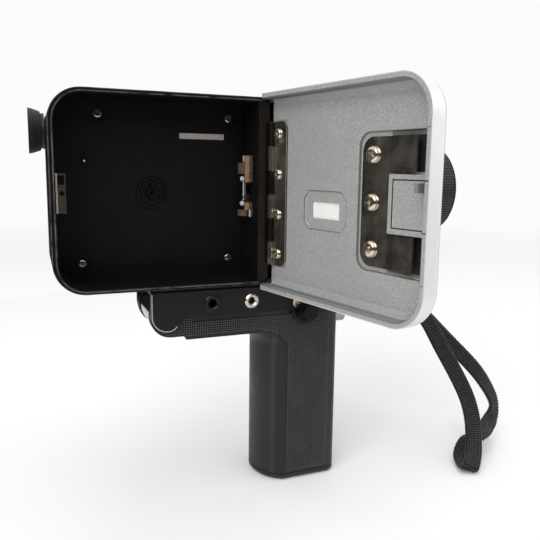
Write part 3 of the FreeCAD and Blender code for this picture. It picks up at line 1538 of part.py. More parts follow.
def saddle_outline():
    """Side view of the saddle: ear at the rear, straight lower edge."""
    low = body_low - d.saddle_drop
    ear = body_low - d.ear_drop
    rear = d.saddle_rear
    return [
        (rear, body_low), (rear, ear), (rear + d.ear_length, ear),
        (rear + d.ear_length + d.ear_slant, low), (d.saddle_front, low), (d.saddle_front, body_low),
    ]


def saddle():
    """Channel under the body: two sides with ears and a web between them."""
    inner = d.saddle_half - d.saddle_wall
    ear = body_low - d.ear_drop
    sides = []
    for low in (-d.saddle_half, inner):
        side = prism("y", saddle_outline(), low, low + d.saddle_wall)
        dress(side, "Fillet", d.ear_radius, runs_along("y", (d.saddle_rear, ear)))
        dress(side, "Fillet", d.ear_front_radius, runs_along("y", (d.saddle_rear + d.ear_length, ear)))
        sides.append(side)
    web = box((d.saddle_rear, d.saddle_front), (-inner - 0.1, inner + 0.1), (body_low - d.saddle_wall, body_low))
    lobe = rod("y", (d.knob_x, -d.saddle_half, knob_z), d.knob_lobe, d.saddle_wall)
    near_side = (-d.saddle_half - 1, d.saddle_wall + 2)
    tools = [
        box(
            (d.saddle_rear - 1, d.saddle_front + 1), (-d.saddle_half - 1, tongue_y + d.seam_gap),
            (cover_low - d.seam_gap, body_low + 1),
        ),
        rod("y", (d.remote_x, near_side[0], socket_z), d.remote_radius, near_side[1]),
        rod("y", (d.release_x, near_side[0], socket_z), d.release_radius, near_side[1]),
        rod("y", (d.gilt_x, near_side[0], gilt_z), d.gilt_radius, near_side[1]),
        rod("y", (d.knob_x, near_side[0], knob_z), d.knob_stem + d.fit, near_side[1]),
        rod("y", (d.pivot_x, pin_start, pivot_z), d.pivot_radius, 2 * d.saddle_half),
    ]
    sub_part("saddle", cut(fuse(*sides, web, lobe), *tools))
    trim_line()
    sockets()


socket_z = body_low - d.socket_drop
gilt_z = body_low - d.gilt_drop
knob_z = body_low - d.knob_drop
pivot_z = body_low - d.pivot_drop
pin_start = d.pivot_cover - d.saddle_half


def trim_line():
    """Bright line along the near ear's edge: down its rear, round its lobe, up to its slant."""
    inset = d.trim_inset
    inner = inset + d.trim_width
    fall = d.ear_drop - d.saddle_drop
    slant = root(d.ear_slant * d.ear_slant + fall * fall)
    turn = (slant - d.ear_slant) / fall
    ear = body_low - d.ear_drop
    top = cover_low - d.seam_gap - d.trim_width
    corner = (d.saddle_rear + d.ear_length, ear)
    end = d.ear_front_radius * turn * 1.2
    path = []
    for depth in (inset, inner):
        start = (corner[0] - depth * turn, corner[1] + depth)
        path.append([
            (d.saddle_rear + depth, top), (d.saddle_rear + depth, ear + depth), start,
            (start[0] + end * d.ear_slant / slant, start[1] + end * fall / slant),
        ])
    line = prism("y", path[0] + path[1][::-1], -d.saddle_half - d.trim_proud, -d.saddle_half)
    for depth, places in zip((inset, inner), path):
        dress(line, "Fillet", d.ear_radius - depth, runs_along("y", places[1]))
        dress(line, "Fillet", d.ear_front_radius - depth, runs_along("y", places[2]))
    sub_part("saddle_trim", line)


def socket(x, z, radius, bore, depth):
    start = -d.saddle_half - d.socket_proud
    body = turned("y", (x, 0, z), [
        (start, bore + 0.5), (start, radius - 0.5), (start + 0.5, radius), (start + d.socket_length, radius),
        (start + d.socket_length, 0), (start + depth, 0), (start + depth, bore), (start + 0.5, bore),
    ])
    return body


def sockets():
    """Remote socket, cable-release socket and the gilt screw in the saddle's side."""
    sub_part("remote_socket", socket(d.remote_x, socket_z, d.remote_radius - d.fit, d.remote_bore, 7.5))
    sub_part("release_socket", socket(d.release_x, socket_z, d.release_radius - d.fit, d.release_bore, 7.0))
    sub_part("gilt_screw", slotted_screw(
        "y", -1, (d.gilt_x, -d.saddle_half, gilt_z), d.gilt_radius - d.fit, d.gilt_proud,
        d.gilt_radius - d.fit, d.socket_length * 0.6,
    ))


def lock_knob():
    """Conical knob whose stem and cam lock the grip."""
    side = -d.saddle_half
    foot = side - d.knob_gap
    tip = side - d.knob_reach
    inner = side + d.saddle_wall + d.seam_gap
    sub_part("lock_knob", turned("y", (d.knob_x, 0, knob_z), [
        (tip, 0), (tip, d.knob_tip), (foot - 1.2, d.knob_radius), (foot, d.knob_radius), (foot, d.knob_stem),
        (inner, d.knob_stem), (inner, 0),
    ]))


def strap_lug():
    """Steel lug on the front face; the strap's two ends leave it side by side."""
    x = (d.front_x, d.front_x + d.lug_reach)
    z = (lug_z - d.lug_tall / 2, lug_z + d.lug_tall / 2)
    body = block(x, (d.lug_y - d.lug_width / 2, d.lug_y + d.lug_width / 2), z, "x", (), None)
    dress(body, "Fillet", 1.2, runs_along("x"))
    sub_part("strap_lug", body)


lug_z = body_low + d.lug_height

# The strap's route from the lug to the floor and back, one point after another by eye.
STRAP_ROUTE = [
    (45, 4.8, 97.6), (53, 2, 93), (62, -1.5, 85.5), (70, -4.5, 77), (76.8, -7, 68.6), (80.9, -13, 56.4),
    (86.7, -18, 43.9), (92.4, -22, 31.1), (92.9, -26, 21.7), (91.1, -30.5, 13.1), (88.3, -35, 6.6),
    (82.2, -39, 2.8), (76.0, -38.4, 4.0), (78.3, -34, 9.4), (89.0, -26, 11.0), (104.0, -19.5, 8.0),
    (112.8, -17, 9.4), (118.0, -15, 14.2), (119.5, -13, 20.1), (116.7, -11, 27.2), (110.9, -8.5, 36.5),
    (104.1, -4.5, 44.8), (97.0, 0, 52.8), (88.8, 4, 62.1), (80, 7.8, 71.8), (70.5, 10.5, 82),
    (61, 12, 90), (52, 12.5, 95.6), (45, 12.4, 98.2),
]


def wrist_strap():
    """The strap's space: a round of the same section along its loop, straight runs and arcs."""
    start = Vector((d.front_x + d.lug_reach).number, (d.lug_y - 3).number, lug_z.number)
    end = Vector((d.front_x + d.lug_reach).number, (d.lug_y + 3.2).number, lug_z.number)
    points = [start] + [Vector(*point) for point in STRAP_ROUTE] + [end]
    edges = []
    radii = []
    here = points[0]
    for before, corner, after in zip(points, points[1:], points[2:]):
        way_in = (corner - before)
        way_out = (after - corner)
        reach = 0.45 * min(way_in.Length, way_out.Length)
        arc_start = corner - way_in * (reach / way_in.Length)
        arc_end = corner + way_out * (reach / way_out.Length)
        turn = way_in.getAngle(way_out)
        radius = reach / math.tan(turn / 2)
        radii.append(radius)
        middle = (way_out.normalize() - way_in.normalize()).normalize()
        centre = corner + middle * (radius / math.cos(turn / 2))
        edges.append(Part.LineSegment(here, arc_start).toShape())
        edges.append(Part.Arc(arc_start, centre - middle * radius, arc_end).toShape())
        here = arc_end
    edges.append(Part.LineSegment(here, points[-1]).toShape())
    path = Part.Wire(edges)
    ring = Part.Wire(Part.makeCircle(d.strap_radius.number, points[0], points[1] - points[0]))
    tube_shape = path.makePipeShell([ring], True, False)
    expected = math.pi * d.strap_radius.number ** 2 * path.Length
    print("strap radii", *("%.1f" % radius for radius in radii))
    print("strap length %.1f, volume %.1f against %.1f" % (path.Length, tube_shape.Volume, expected))
    sub_part("wrist_strap", shaped(tube_shape))


arm_high = body_low - d.saddle_drop - d.grip_gap
arm_low = arm_high - d.arm_depth
rear_centre = d.grip_rear + d.grip_rear_radius
foot_top = d.foot_thick


def handle_plan(inset, low, high):
    """The handle's plan view filled between two heights: round rear, flat sides and front."""
    half = d.grip_half - inset
    radius = d.grip_rear_radius - inset
    front = d.grip_front - inset
    rear = common(
        rod("z", (rear_centre, 0, low), radius, high - low),
        box((d.grip_rear - 5, rear_centre), (-half, half), (low, high)),
    )
    chord = rear_centre - root(radius * radius - half * half)
    main = block(
        (chord, front), (-half, half), (low, high), "z", FRONT_CORNERS, d.grip_front_radius - inset
    )
    return fuse(rear, main)


def grip():
    """Swinging L-shaped grip: two shells, foot cap, hinge barrel and what lies inside."""
    half = d.grip_half
    step_low = arm_low + d.arm_step
    arm_points = [
        (d.pivot_x, step_low), (d.arm_step_x, step_low), (d.arm_step_x + 1, arm_low), (rear_centre, arm_low),
        (rear_centre, arm_high), (d.pivot_x, arm_high),
    ]
    arm = prism("y", arm_points, -half, half)
    end_radius = pivot_z - step_low
    arm_end = rod("y", (d.pivot_x, -half, pivot_z), end_radius, 2 * half)
    blend_r = d.grip_rear_radius + d.blend_radius
    blend_low = arm_low - d.blend_radius
    blend = common(
        cut(
            rod("z", (rear_centre, 0, blend_low), blend_r, d.blend_radius + 1),
            ring_round("z", (rear_centre, 0, blend_low), blend_r, d.blend_radius),
        ),
        box((d.grip_rear - 2 * d.blend_radius, rear_centre), (-half, half), (blend_low, arm_low + 1)),
    )
    solid = fuse(arm, arm_end, blend, handle_plan(0, foot_top + d.foot_seam, arm_high))
    bay = handle_plan(d.grip_wall, foot_top - 1, arm_high - d.grip_wall)
    bay_mouth = handle_plan(d.grip_wall + 1.2, foot_top, arm_high + 1)
    arm_hollow = box(
        (d.arm_step_x + 2, rear_centre), (-half + d.grip_wall, half - d.grip_wall),
        (arm_low + d.grip_wall, arm_high - d.grip_wall),
    )
    reach = arm_barrel_half + d.barrel_clear
    tools = [
        bay, bay_mouth, arm_hollow,
        rod("y", (d.pivot_x, -reach, pivot_z), end_radius + 1, 2 * reach),
        box((d.pivot_x - end_radius - 2, d.pivot_x + 1), (-reach, reach), (arm_low - 1, arm_high + end_radius)),
        rod("y", (d.pivot_x, -half - 1, pivot_z), d.pivot_radius + d.fit, 2 * half + 2),
        box(
            (d.saddle_rear - 1, d.arm_step_x + 1.5), (-reach, reach), (arm_high - 0.01, arm_high + end_radius),
        ),
    ]
    line_x = d.grip_front - d.grip_line_back
    for y in ((-half - 1, -half + d.grip_line_depth), (half - d.grip_line_depth, half + 1)):
        tools.append(box((line_x, line_x + d.grip_line), y, (foot_top, arm_high + 1)))
    for name, side in (("grip_right_shell", (-half - 1, -0.02)), ("grip_left_shell", (0.02, half + 1))):
        keep = box((d.saddle_rear - 5, d.grip_front + 1), side, (0, body_low))
        sub_part(name, cut(common(solid, keep), *tools))
    foot()
    barrel = tube(
        "y", (d.pivot_x, -arm_barrel_half, pivot_z), end_radius - 0.5, d.pivot_radius + d.fit,
        2 * arm_barrel_half,
    )
    sub_part("hinge_barrel", barrel)
    sub_part("pivot_pin", rod(
        "y", (d.pivot_x, pin_start, pivot_z), d.pivot_radius - 0.01, d.saddle_half + 0.2 - pin_start
    ))


arm_barrel_half = d.grip_half - d.cheek - d.barrel_clear


def foot():
    """Foot cap with a rounded edge and the tripod bush in its middle."""
    cap = handle_plan(0, 0, foot_top)
    hole = rod("z", (0, 0, -1), d.bush_radius, d.foot_thick + 2)
    rounding = foot_rounding()
    sub_part("grip_foot", cut(common(cap, rounding), hole))
    length = d.bush_length
    flange = rod("z", (0, 0, foot_top), d.bush_radius + 2, 1.2)
    bush = rod("z", (0, 0, 0), d.bush_radius - 0.02, length)
    bore = rod("z", (0, 0, -1), d.bush_bore, length)
    sub_part("tripod_bush", cut(fuse(bush, flange), bore))


def foot_rounding():
    """A slab whose lower edge is bevelled, for the foot cap's edge."""
    round_off = d.foot_round
    half = d.grip_half
    slab = block(
        (d.grip_rear - 1, d.grip_front), (-half, half), (0, foot_top + 1), "z", FRONT_CORNERS,
        d.grip_front_radius,
    )
    dress(slab, "Chamfer", round_off * 0.6, lambda edge: near(edge.BoundBox.ZMax, 0)
          and edge.CenterOfMass.x > d.grip_rear.number)
    ball = cone(
        "z", (rear_centre, 0, 0), d.grip_rear_radius - round_off * 0.6,
        d.grip_rear_radius - round_off * 0.6 + foot_top + 1, foot_top + 1,
    )
    front = box((rear_centre, d.grip_front + 1), (-half, half), (0, foot_top + 1))
    return common(slab, fuse(ball, front))


def batteries():
    """Four cells in a holder that slides into the handle from its top."""
    pitch = d.cell_radius + d.cell_gap / 2
    middle_x = d.grip_front - d.grip_wall - 0.4 - d.cell_radius * 2 - d.cell_gap / 2
    low = d.holder_rise
    cell_low = low + d.holder_plate + d.holder_contact
    cell_high = cell_low + d.cell_length
    places = [(middle_x + a * pitch, b * pitch) for a in (-1, 1) for b in (-1, 1)]
    cells = []
    for x, y in places:
        cells.append(fuse(
            rod("z", (x, y, cell_low), d.cell_radius, d.cell_length - 1.2),
            rod("z", (x, y, cell_high - 1.3), 2.7, 1.3),
        ))
    sub_part("battery_cells", group(*cells))
    reach = pitch + d.cell_radius * 0.72
    x = (middle_x - reach, middle_x + reach)
    plates = []
    for z in (low, cell_high + d.holder_contact):
        plates.append(block(x, (-reach, reach), (z, z + d.holder_plate), "z", ALL_CORNERS, 4.0))
    web = rod("z", (middle_x, 0, low), 2.2, cell_high + d.holder_contact + d.holder_plate - low)
    contacts = []
    for x, y in places:
        contacts.append(cone("z", (x, y, low + d.holder_plate), 3.2, 1.6, d.holder_contact))
        contacts.append(rod("z", (x, y, cell_high), 2.6, d.holder_contact))
    sub_part("battery_holder", fuse(*plates, web, *contacts))


chamber_casting()
chamber_screws()
name_plate()
film_gate()
strike_plate()
hinge()
door()
cartridge_spring()
latch_slide()
left_cover()
side_controls()
front_housing()
right_front_cover()
finder()
lens()
drive()
circuit_board()
rocker()
trigger()
saddle()
lock_knob()
strap_lug()
wrist_strap()
grip()
batteries()

# The door's pieces are drawn shut and stand open: turned about the hinge line.
open_turn = Rotation(AXES["z"], d.door_opening.number)
hinge_point = Vector(d.hinge_x.number, hinge_y.number, 0)
for piece in open_pieces:
    piece.Placement = Placement(hinge_point - open_turn.multVec(hinge_point), open_turn)

document.recompute()
for thing in document.Objects:
    if "Invalid" in thing.State or "Error" in thing.State:
        raise RuntimeError(thing.Name + " " + thing.Label + " failed: " + str(thing.State))
for piece in sub_parts:
    if piece.Shape.isNull() or not piece.Shape.isValid():
        raise RuntimeError(piece.Label + " has no valid shape")

os.makedirs("parts", exist_ok=True)
for piece in sub_parts:
    piece.Shape.exportStep("parts/" + piece.Label + ".step")
    spread = piece.Shape.BoundBox
    print("%-20s solids %d volume %9.1f  x %.1f %.1f y %.1f %.1f z %.1f %.1f" % (
        piece.Label, len(piece.Shape.Solids), piece.Shape.Volume,
        spread.XMin, spread.XMax, spread.YMin, spread.YMax, spread.ZMin, spread.ZMax,
    ))
print(len(sub_parts), "sub-parts")
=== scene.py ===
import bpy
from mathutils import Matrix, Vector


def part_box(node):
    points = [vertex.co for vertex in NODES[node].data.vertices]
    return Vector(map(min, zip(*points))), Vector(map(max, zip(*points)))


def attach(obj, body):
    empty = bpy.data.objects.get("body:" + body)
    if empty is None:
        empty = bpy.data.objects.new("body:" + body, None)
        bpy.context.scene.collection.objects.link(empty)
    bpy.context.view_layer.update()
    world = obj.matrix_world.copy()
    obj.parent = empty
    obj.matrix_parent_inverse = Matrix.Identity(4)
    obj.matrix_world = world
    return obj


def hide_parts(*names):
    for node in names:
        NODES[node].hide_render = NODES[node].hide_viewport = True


bl_info = {
    "name": "Cartridge Movie Camera",
    "version": (1, 0, 0),
    "blender": (4, 5, 0),
    "location": "View3D > Sidebar > Movie Camera",
    "description": "Finishes and fine pieces of a cartridge movie camera, around its packed frame",
    "category": "Object",
}

import math
from functools import partialmethod, reduce

import bmesh
import bpy
from bpy.props import FloatProperty, FloatVectorProperty, IntProperty, PointerProperty
from mathutils import Matrix, Vector

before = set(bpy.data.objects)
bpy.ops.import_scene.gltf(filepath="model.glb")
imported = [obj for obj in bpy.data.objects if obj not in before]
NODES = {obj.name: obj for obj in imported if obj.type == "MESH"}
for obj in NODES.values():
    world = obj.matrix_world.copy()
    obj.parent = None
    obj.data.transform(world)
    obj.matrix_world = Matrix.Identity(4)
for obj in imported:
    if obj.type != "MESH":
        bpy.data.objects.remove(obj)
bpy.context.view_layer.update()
MM = 0.001

# Places of the frame that several pieces share, in millimetres.
HINGE = (-18.4, -22.9)
DOOR_OPEN = math.radians(103.5)
# Axes of round pieces: across and height of those along X, then along and height of those along Y.
OPTIC, MOTOR_AXIS, SHUTTER_AXIS = (-10.9, 136.9), (12.4, 121.1), (0.0, 134.0)
PIVOT, RELEASE_SOCKET, GILT_SCREW = (-60.2, 83.4), (-25.1, 88.5), (-2.9, 86.4)
# The body's outline: height of its middle, half its height, its corners, and the two edges of its rim, along
# which highlight lines are painted.
BODY_MIDDLE, BODY_HALF, BODY_CORNER = (95.4 + 175.6) / 2, 40.1, 12.8
RIM_HIGHLIGHT_EDGES = (0.15, 1.55)
# The door's outline from the hinge's axis: length, half its height and its corners.
DOOR_LENGTH, DOOR_HALF, DOOR_CORNER = 88.8, 40.8, 13.4
# What is moulded inside the shut door, along whose outlines shade lines are painted: where it lies behind the
# hinge, its heights and its corners.
LATCH_LID = ((69.6, 100.0), (127.0, 142.9), 0.0)
PANE_RECESS = ((21.3, 45.7), (122.7, 137.7), 3.0)
SPRING_SEAT = ((51.9, 100.0), (110.8, 158.9), 5.0)
# Faint ejector marks inside the door: across and height of each, and their radius.
EJECTOR_MARKS = ((-16.3, 163.1), (-16.7, 107.4), (-67.9, 110.7))
EJECTOR_RADIUS = 2.1
# The lens's ribbed rings: outer radius, and where the ribs start and end along the axis.
FOCUS_RING = (20.3, (53.7, 70.5))
ZOOM_RING = (16.6, (39.2, 49.8))
# Locating pin on the chamber floor.
PIN_PLACE = (-92.3, -1.2, 148.1)
# How much lighter moulded plastic is where hands rub it.
HAND_RUBBED = 1.9
# Lays a flat piece that looks up against the left cover, so that it looks to the camera's left.
TO_THE_LEFT = Matrix(((-1, 0, 0, 0), (0, 0, 1, 0), (0, 1, 0, 0), (0, 0, 0, 1)))


def span(*nodes):
    """Lowest and highest corner of some CAD nodes, in millimetres."""
    corners = [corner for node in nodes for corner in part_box(node)]
    low = Vector([min(corner[k] for corner in corners) for k in range(3)])
    high = Vector([max(corner[k] for corner in corners) for k in range(3)])
    return low / MM, high / MM


# Node trees


class Wire:
    """A socket of a tree. Python's operators on it add Math nodes."""

    def __init__(self, tree, socket):
        self.tree = tree
        self.socket = socket

    def maths(self, operation, *others):
        return self.tree.maths(operation, self, *others)

    __add__ = __radd__ = partialmethod(maths, "ADD")
    __sub__ = partialmethod(maths, "SUBTRACT")
    __mul__ = __rmul__ = partialmethod(maths, "MULTIPLY")
    __truediv__ = partialmethod(maths, "DIVIDE")
    __pow__ = partialmethod(maths, "POWER")
    __abs__ = partialmethod(maths, "ABSOLUTE")
    __gt__ = partialmethod(maths, "GREATER_THAN")
    # The larger and the smaller of two.
    over = partialmethod(maths, "MAXIMUM")
    under = partialmethod(maths, "MINIMUM")

    def __rsub__(self, other):
        return self.tree.maths("SUBTRACT", other, self)

    def rise(self, low, high):
        """0 up to low, 1 from high, and smooth between them."""
        return self.tree.node(
            "ShaderNodeMapRange", {"interpolation_type": "SMOOTHSTEP"}, {0: self, 1: low, 2: high}
        )


class Tree:
    """A node tree that is built node by node."""

    def node(self, kind, settings=None, inputs=None, output=0):
        """Adds a node: its settings first, then the values or links of its sockets."""
        made = self.tree.nodes.new(kind)
        for name, value in (settings or {}).items():
            setattr(made, name, value)
        for name, value in (inputs or {}).items():
            if isinstance(value, Wire):
                self.tree.links.new(value.socket, made.inputs[name])
            else:
                made.inputs[name].default_value = value
        return Wire(self, made.outputs[output])

    def maths(self, operation, *values):
        return self.node("ShaderNodeMath", {"operation": operation}, dict(enumerate(values)))

    def axis(self, name, place):
        return self.node("ShaderNodeSeparateXYZ", None, {0: place}, output=name)

    def vector(self, operation, *values):
        return self.node("ShaderNodeVectorMath", {"operation": operation}, dict(enumerate(values)))


class Finish(Tree):
    """One procedural material. Its patterns are written in millimetres of Object coordinates."""

    def __init__(self, name, **constants):
        self.material = bpy.data.materials.new(name)
        self.material.use_nodes = True
        self.tree = self.material.node_tree
        self.tree.nodes.clear()
        self.shader = self.tree.nodes.new("ShaderNodeBsdfPrincipled")
        output = self.tree.nodes.new("ShaderNodeOutputMaterial")
        self.tree.links.new(self.shader.outputs[0], output.inputs["Surface"])
        place = self.node("ShaderNodeTexCoord", output="Object")
        self.place = self.vector("MULTIPLY", place, (1 / MM,) * 3)
        self.set(**constants)

    def set(self, **values):
        """Sets sockets of the shader, such as base_color for its Base Color, and gives the finish back."""
        for name, value in values.items():
            words = ["IOR" if word == "ior" else word.capitalize() for word in name.split("_")]
            socket = self.shader.inputs[" ".join(words)]
            if isinstance(value, Wire):
                self.tree.links.new(value.socket, socket)
            elif socket.type == "RGBA":
                socket.default_value = (*value, 1.0)
            else:
                socket.default_value = value
        return self

    def along(self, name):
        return self.axis(name, self.place)

    def turned(self, centre, angle):
        """The place about a centre, turned back by an angle about Z."""
        return self.node(
            "ShaderNodeMapping", {"vector_type": "TEXTURE"},
            {0: self.place, 1: (*centre, 0.0), 2: (0.0, 0.0, angle)},
        )

    def stretched(self, scale):
        return self.vector("MULTIPLY", self.place, scale)

    def distance(self, axis, centre):
        """Distance from a line along X or Y through a centre."""
        first = self.along("Y" if axis == "X" else "X") - centre[0]
        second = self.along("Z") - centre[1]
        return (first * first + second * second) ** 0.5

    def top(self):
        """1 on the tops of a pattern's shapes and 0 at their feet and between them."""
        return self.node("ShaderNodeAttribute", {"attribute_name": "top"}, output="Fac")

    def noise(self, size, detail=2.0, roughness=0.5, place=None):
        """Noise whose features are about that size in millimetres."""
        return self.node(
            "ShaderNodeTexNoise", None,
            {"Vector": place or self.place, "Scale": 1 / size, "Detail": detail, "Roughness": roughness},
        )

    def patches(self, size, low, high, detail=4.0, roughness=0.6):
        """Patches of about that size: noise that is 0 up to one level and 1 from the other."""
        return self.noise(size, detail, roughness).rise(low, high)

    def cells(self, size, feature="F1", jitter=1.0):
        return self.node(
            "ShaderNodeTexVoronoi", {"feature": feature},
            {"Vector": self.place, "Scale": 1 / size, "Randomness": jitter}, output="Distance",
        )

    def blend(self, factor, first, second):
        """A colour between two colours."""
        first, second = (c if isinstance(c, Wire) else (*c, 1.0) for c in (first, second))
        return self.node(
            "ShaderNodeMix", {"data_type": "RGBA"}, {0: factor, 6: first, 7: second}, output=2
        )

    def layers(self, base, *layers):
        """A colour with others laid over it in turn. Each is how much of it shows, and the colour."""
        for factor, colour in layers:
            base = self.blend(factor, base, colour)
        return base

    def bump(self, height, depth, strength, under=None):
        """Relief of that depth in millimetres where height runs from 0 to 1."""
        inputs = {"Height": height, "Distance": depth * MM, "Strength": strength}
        if under is not None:
            inputs["Normal"] = under
        return self.node("ShaderNodeBump", None, inputs)


class Pattern(Tree):
    """A Geometry Nodes tree with named inputs. It ends in Realize Instances and Set Material."""

    def __init__(self, name, **inputs):
        self.tree = bpy.data.node_groups.new(name, "GeometryNodeTree")
        sockets = self.tree.interface
        sockets.new_socket("Geometry", in_out="INPUT", socket_type="NodeSocketGeometry")
        for label, kind in inputs.items():
            sockets.new_socket(label, in_out="INPUT", socket_type="NodeSocket" + kind)
        sockets.new_socket("Geometry", in_out="OUTPUT", socket_type="NodeSocketGeometry")
        self.given = self.tree.nodes.new("NodeGroupInput")
        self.end = self.tree.nodes.new("NodeGroupOutput")

    def input(self, label):
        return Wire(self, self.given.outputs[label])

    def shape(self, label):
        """The geometry of an object that is given as an input."""
        return self.node("GeometryNodeObjectInfo", None, {0: self.input(label)}, output="Geometry")

    def attribute(self, name):
        return self.node("GeometryNodeInputNamedAttribute", {"data_type": "FLOAT_VECTOR"}, {"Name": name})

    def facing(self, up, along):
        """The turn that lays a shape's Z along up and its X along the other direction."""
        stood = self.node("FunctionNodeAlignRotationToVector", {"axis": "Z"}, {"Vector": up})
        return self.node(
            "FunctionNodeAlignRotationToVector", {"axis": "X", "pivot_axis": "Z"},
            {"Rotation": stood, "Vector": along},
        )

    def stand(self, shape, points, up=None, along=None, size=1.0):
        """A shape on every point, turned as given or as the point's own up and along say."""
        turn = self.facing(up or self.attribute("up"), along or self.attribute("along"))
        scale = self.node("ShaderNodeCombineXYZ", None, {k: size for k in range(3)})
        return self.node("GeometryNodeInstanceOnPoints", None, {
            "Points": points, "Instance": self.shape(shape), "Rotation": turn, "Scale": scale,
        })

    def kept_with(self, made):
        """The tree's own geometry with what it makes on it."""
        joined = self.tree.nodes.new("GeometryNodeJoinGeometry")
        for part in (self.input("Geometry"), made):
            self.tree.links.new(part.socket, joined.inputs[0])
        return Wire(self, joined.outputs[0])

    def finish(self, geometry):
        realized = self.node("GeometryNodeRealizeInstances", None, {0: geometry})
        done = self.node(
            "GeometryNodeSetMaterial", None, {"Geometry": realized, "Material": self.input("Finish")}
        )
        self.tree.links.new(done.socket, self.end.inputs[0])
        return self

    def grow(self, name, base, **inputs):
        """Runs the tree on a mesh and gives what it makes as a plain mesh object.

        A mesh among the inputs stands in an object while the tree runs."""
        host = add(name + "_host", base)
        modifier = host.modifiers.new("Pattern", "NODES")
        modifier.node_group = self.tree
        sockets = {i.name: i.identifier for i in self.tree.interface.items_tree if i.in_out == "INPUT"}
        helpers = [host]
        for label, value in inputs.items():
            if isinstance(value, bpy.types.Mesh):
                value = add(label, value)
                helpers.append(value)
            modifier[sockets[label]] = value.material if isinstance(value, Finish) else value
        mesh = plain_mesh(host)
        for helper in helpers:
            bpy.data.objects.remove(helper)
        if not mesh.polygons:
            raise RuntimeError("the pattern of " + name + " has made nothing")
        return add(name, mesh)


# Shapes


def add(name, data):
    made = bpy.data.objects.new(name, data)
    bpy.context.scene.collection.objects.link(made)
    return made


def plain_mesh(thing):
    """What an object shows, as a mesh of its own."""
    bpy.context.view_layer.update()
    graph = bpy.context.evaluated_depsgraph_get()
    return bpy.data.meshes.new_from_object(
        thing.evaluated_get(graph), preserve_all_data_layers=True, depsgraph=graph
    )


def mesh_of(name, build, smooth=35.0):
    """A mesh from a function that fills a bmesh in millimetres."""
    work = bmesh.new()
    build(work)
    bmesh.ops.remove_doubles(work, verts=work.verts, dist=1e-5)
    bmesh.ops.recalc_face_normals(work, faces=work.faces)
    bmesh.ops.scale(work, vec=(MM, MM, MM), verts=work.verts)
    mesh = bpy.data.meshes.new(name)
    work.to_mesh(mesh)
    work.free()
    mesh.shade_smooth()
    mesh.set_sharp_from_angle(angle=math.radians(smooth))
    return mesh


def lathe(name, profile, place=(0, 0, 0), axis="Z", steps=96, smooth=35.0):
    """A solid turned from (height, radius) points about an axis. The profile is a closed line."""
    turn = {
        "Z": Matrix.Identity(3), "X": Matrix(((0, 0, 1), (0, 1, 0), (-1, 0, 0))),
        "Y": Matrix(((1, 0, 0), (0, 0, 1), (0, -1, 0))),
    }[axis]

    def build(work):
        rings = []
        for height, radius in profile:
            count = steps if radius > 1e-6 else 1
            rings.append([
                work.verts.new(Vector(place) + turn @ Vector((
                    radius * math.cos(math.tau * k / steps), radius * math.sin(math.tau * k / steps), height
                )))
                for k in range(count)
            ])
        for ring, following in zip(rings, rings[1:] + rings[:1]):
            for k in range(steps):
                corners = [ring[k % len(ring)], ring[(k + 1) % len(ring)],
                           following[(k + 1) % len(following)], following[k % len(following)]]
                distinct = list(dict.fromkeys(corners))
                if len(distinct) > 2:
                    work.faces.new(distinct)

    return mesh_of(name, build, smooth)


def topped(mesh, low, high):
    """Notes how high each point of a pattern's shape stands: 0 at low and 1 at high, in millimetres."""
    values = mesh.attributes.new("top", "FLOAT", "POINT").data
    for value, vert in zip(values, mesh.vertices):
        value.value = min(1.0, max(0.0, (vert.co.z / MM - low) / (high - low)))
    return mesh


def prism(name, outline, low, high, taper=1.0, smooth=35.0):
    """An outline of (x, y) points filled from one height to another, drawn in towards the top."""
    def build(work):
        lower = [work.verts.new((x, y, low)) for x, y in outline]
        upper = [work.verts.new((x * taper, y * taper, high)) for x, y in outline]
        work.faces.new(lower)
        work.faces.new(upper)
        count = len(outline)
        for k in range(count):
            work.faces.new([lower[k], lower[(k + 1) % count], upper[(k + 1) % count], upper[k]])

    return mesh_of(name, build, smooth)


def rounded(width, height, radius, steps=6):
    """The outline of a rectangle with round corners."""
    points = []
    for x, y, start in ((1, 1, 0), (-1, 1, 90), (-1, -1, 180), (1, -1, 270)):
        for k in range(steps + 1):
            angle = math.radians(start + 90 * k / steps)
            points.append((
                x * (width / 2 - radius) + radius * math.cos(angle),
                y * (height / 2 - radius) + radius * math.sin(angle),
            ))
    return points


def placed(mesh, place, turn):
    """A mesh turned and put in its place, in millimetres."""
    mesh.transform(Matrix.Translation(Vector(place) * MM) @ turn)
    return mesh


def carved(mesh, *cutters):
    """A mesh with other meshes cut out of it."""
    host = add(mesh.name + "_cut", mesh)
    tools = [add(cutter.name, cutter) for cutter in cutters]
    for tool in tools:
        cut = host.modifiers.new("Cut", "BOOLEAN")
        cut.operation = "DIFFERENCE"
        cut.solver = "EXACT"
        cut.object = tool
    made = plain_mesh(host)
    for thing in [host, *tools]:
        bpy.data.objects.remove(thing)
    return made


def spots(name, rows):
    """Loose points with a place, the way up and the way along each, in millimetres."""
    mesh = bpy.data.meshes.new(name)
    mesh.from_pydata([Vector(row[0]) * MM for row in rows], [], [])
    for number, label in ((1, "up"), (2, "along")):
        values = mesh.attributes.new(label, "FLOAT_VECTOR", "POINT").data
        for value, row in zip(values, rows):
            value.vector = row[number]
    return mesh


def islands(node):
    """Middle and half size of each separate solid of a CAD node, in millimetres."""
    work = bmesh.new()
    work.from_mesh(NODES[node].data)
    bmesh.ops.remove_doubles(work, verts=work.verts, dist=1e-6)
    left = set(work.verts)
    found = []
    while left:
        group, todo = set(), [left.pop()]
        while todo:
            vert = todo.pop()
            group.add(vert)
            for edge in vert.link_edges:
                other = edge.other_vert(vert)
                if other in left:
                    left.discard(other)
                    todo.append(other)
        low = Vector([min(v.co[k] for v in group) for k in range(3)]) / MM
        high = Vector([max(v.co[k] for v in group) for k in range(3)]) / MM
        found.append(((low + high) / 2, (high - low) / 2))
    work.free()
    return sorted(found, key=lambda pair: tuple(round(x, 2) for x in pair[0]))


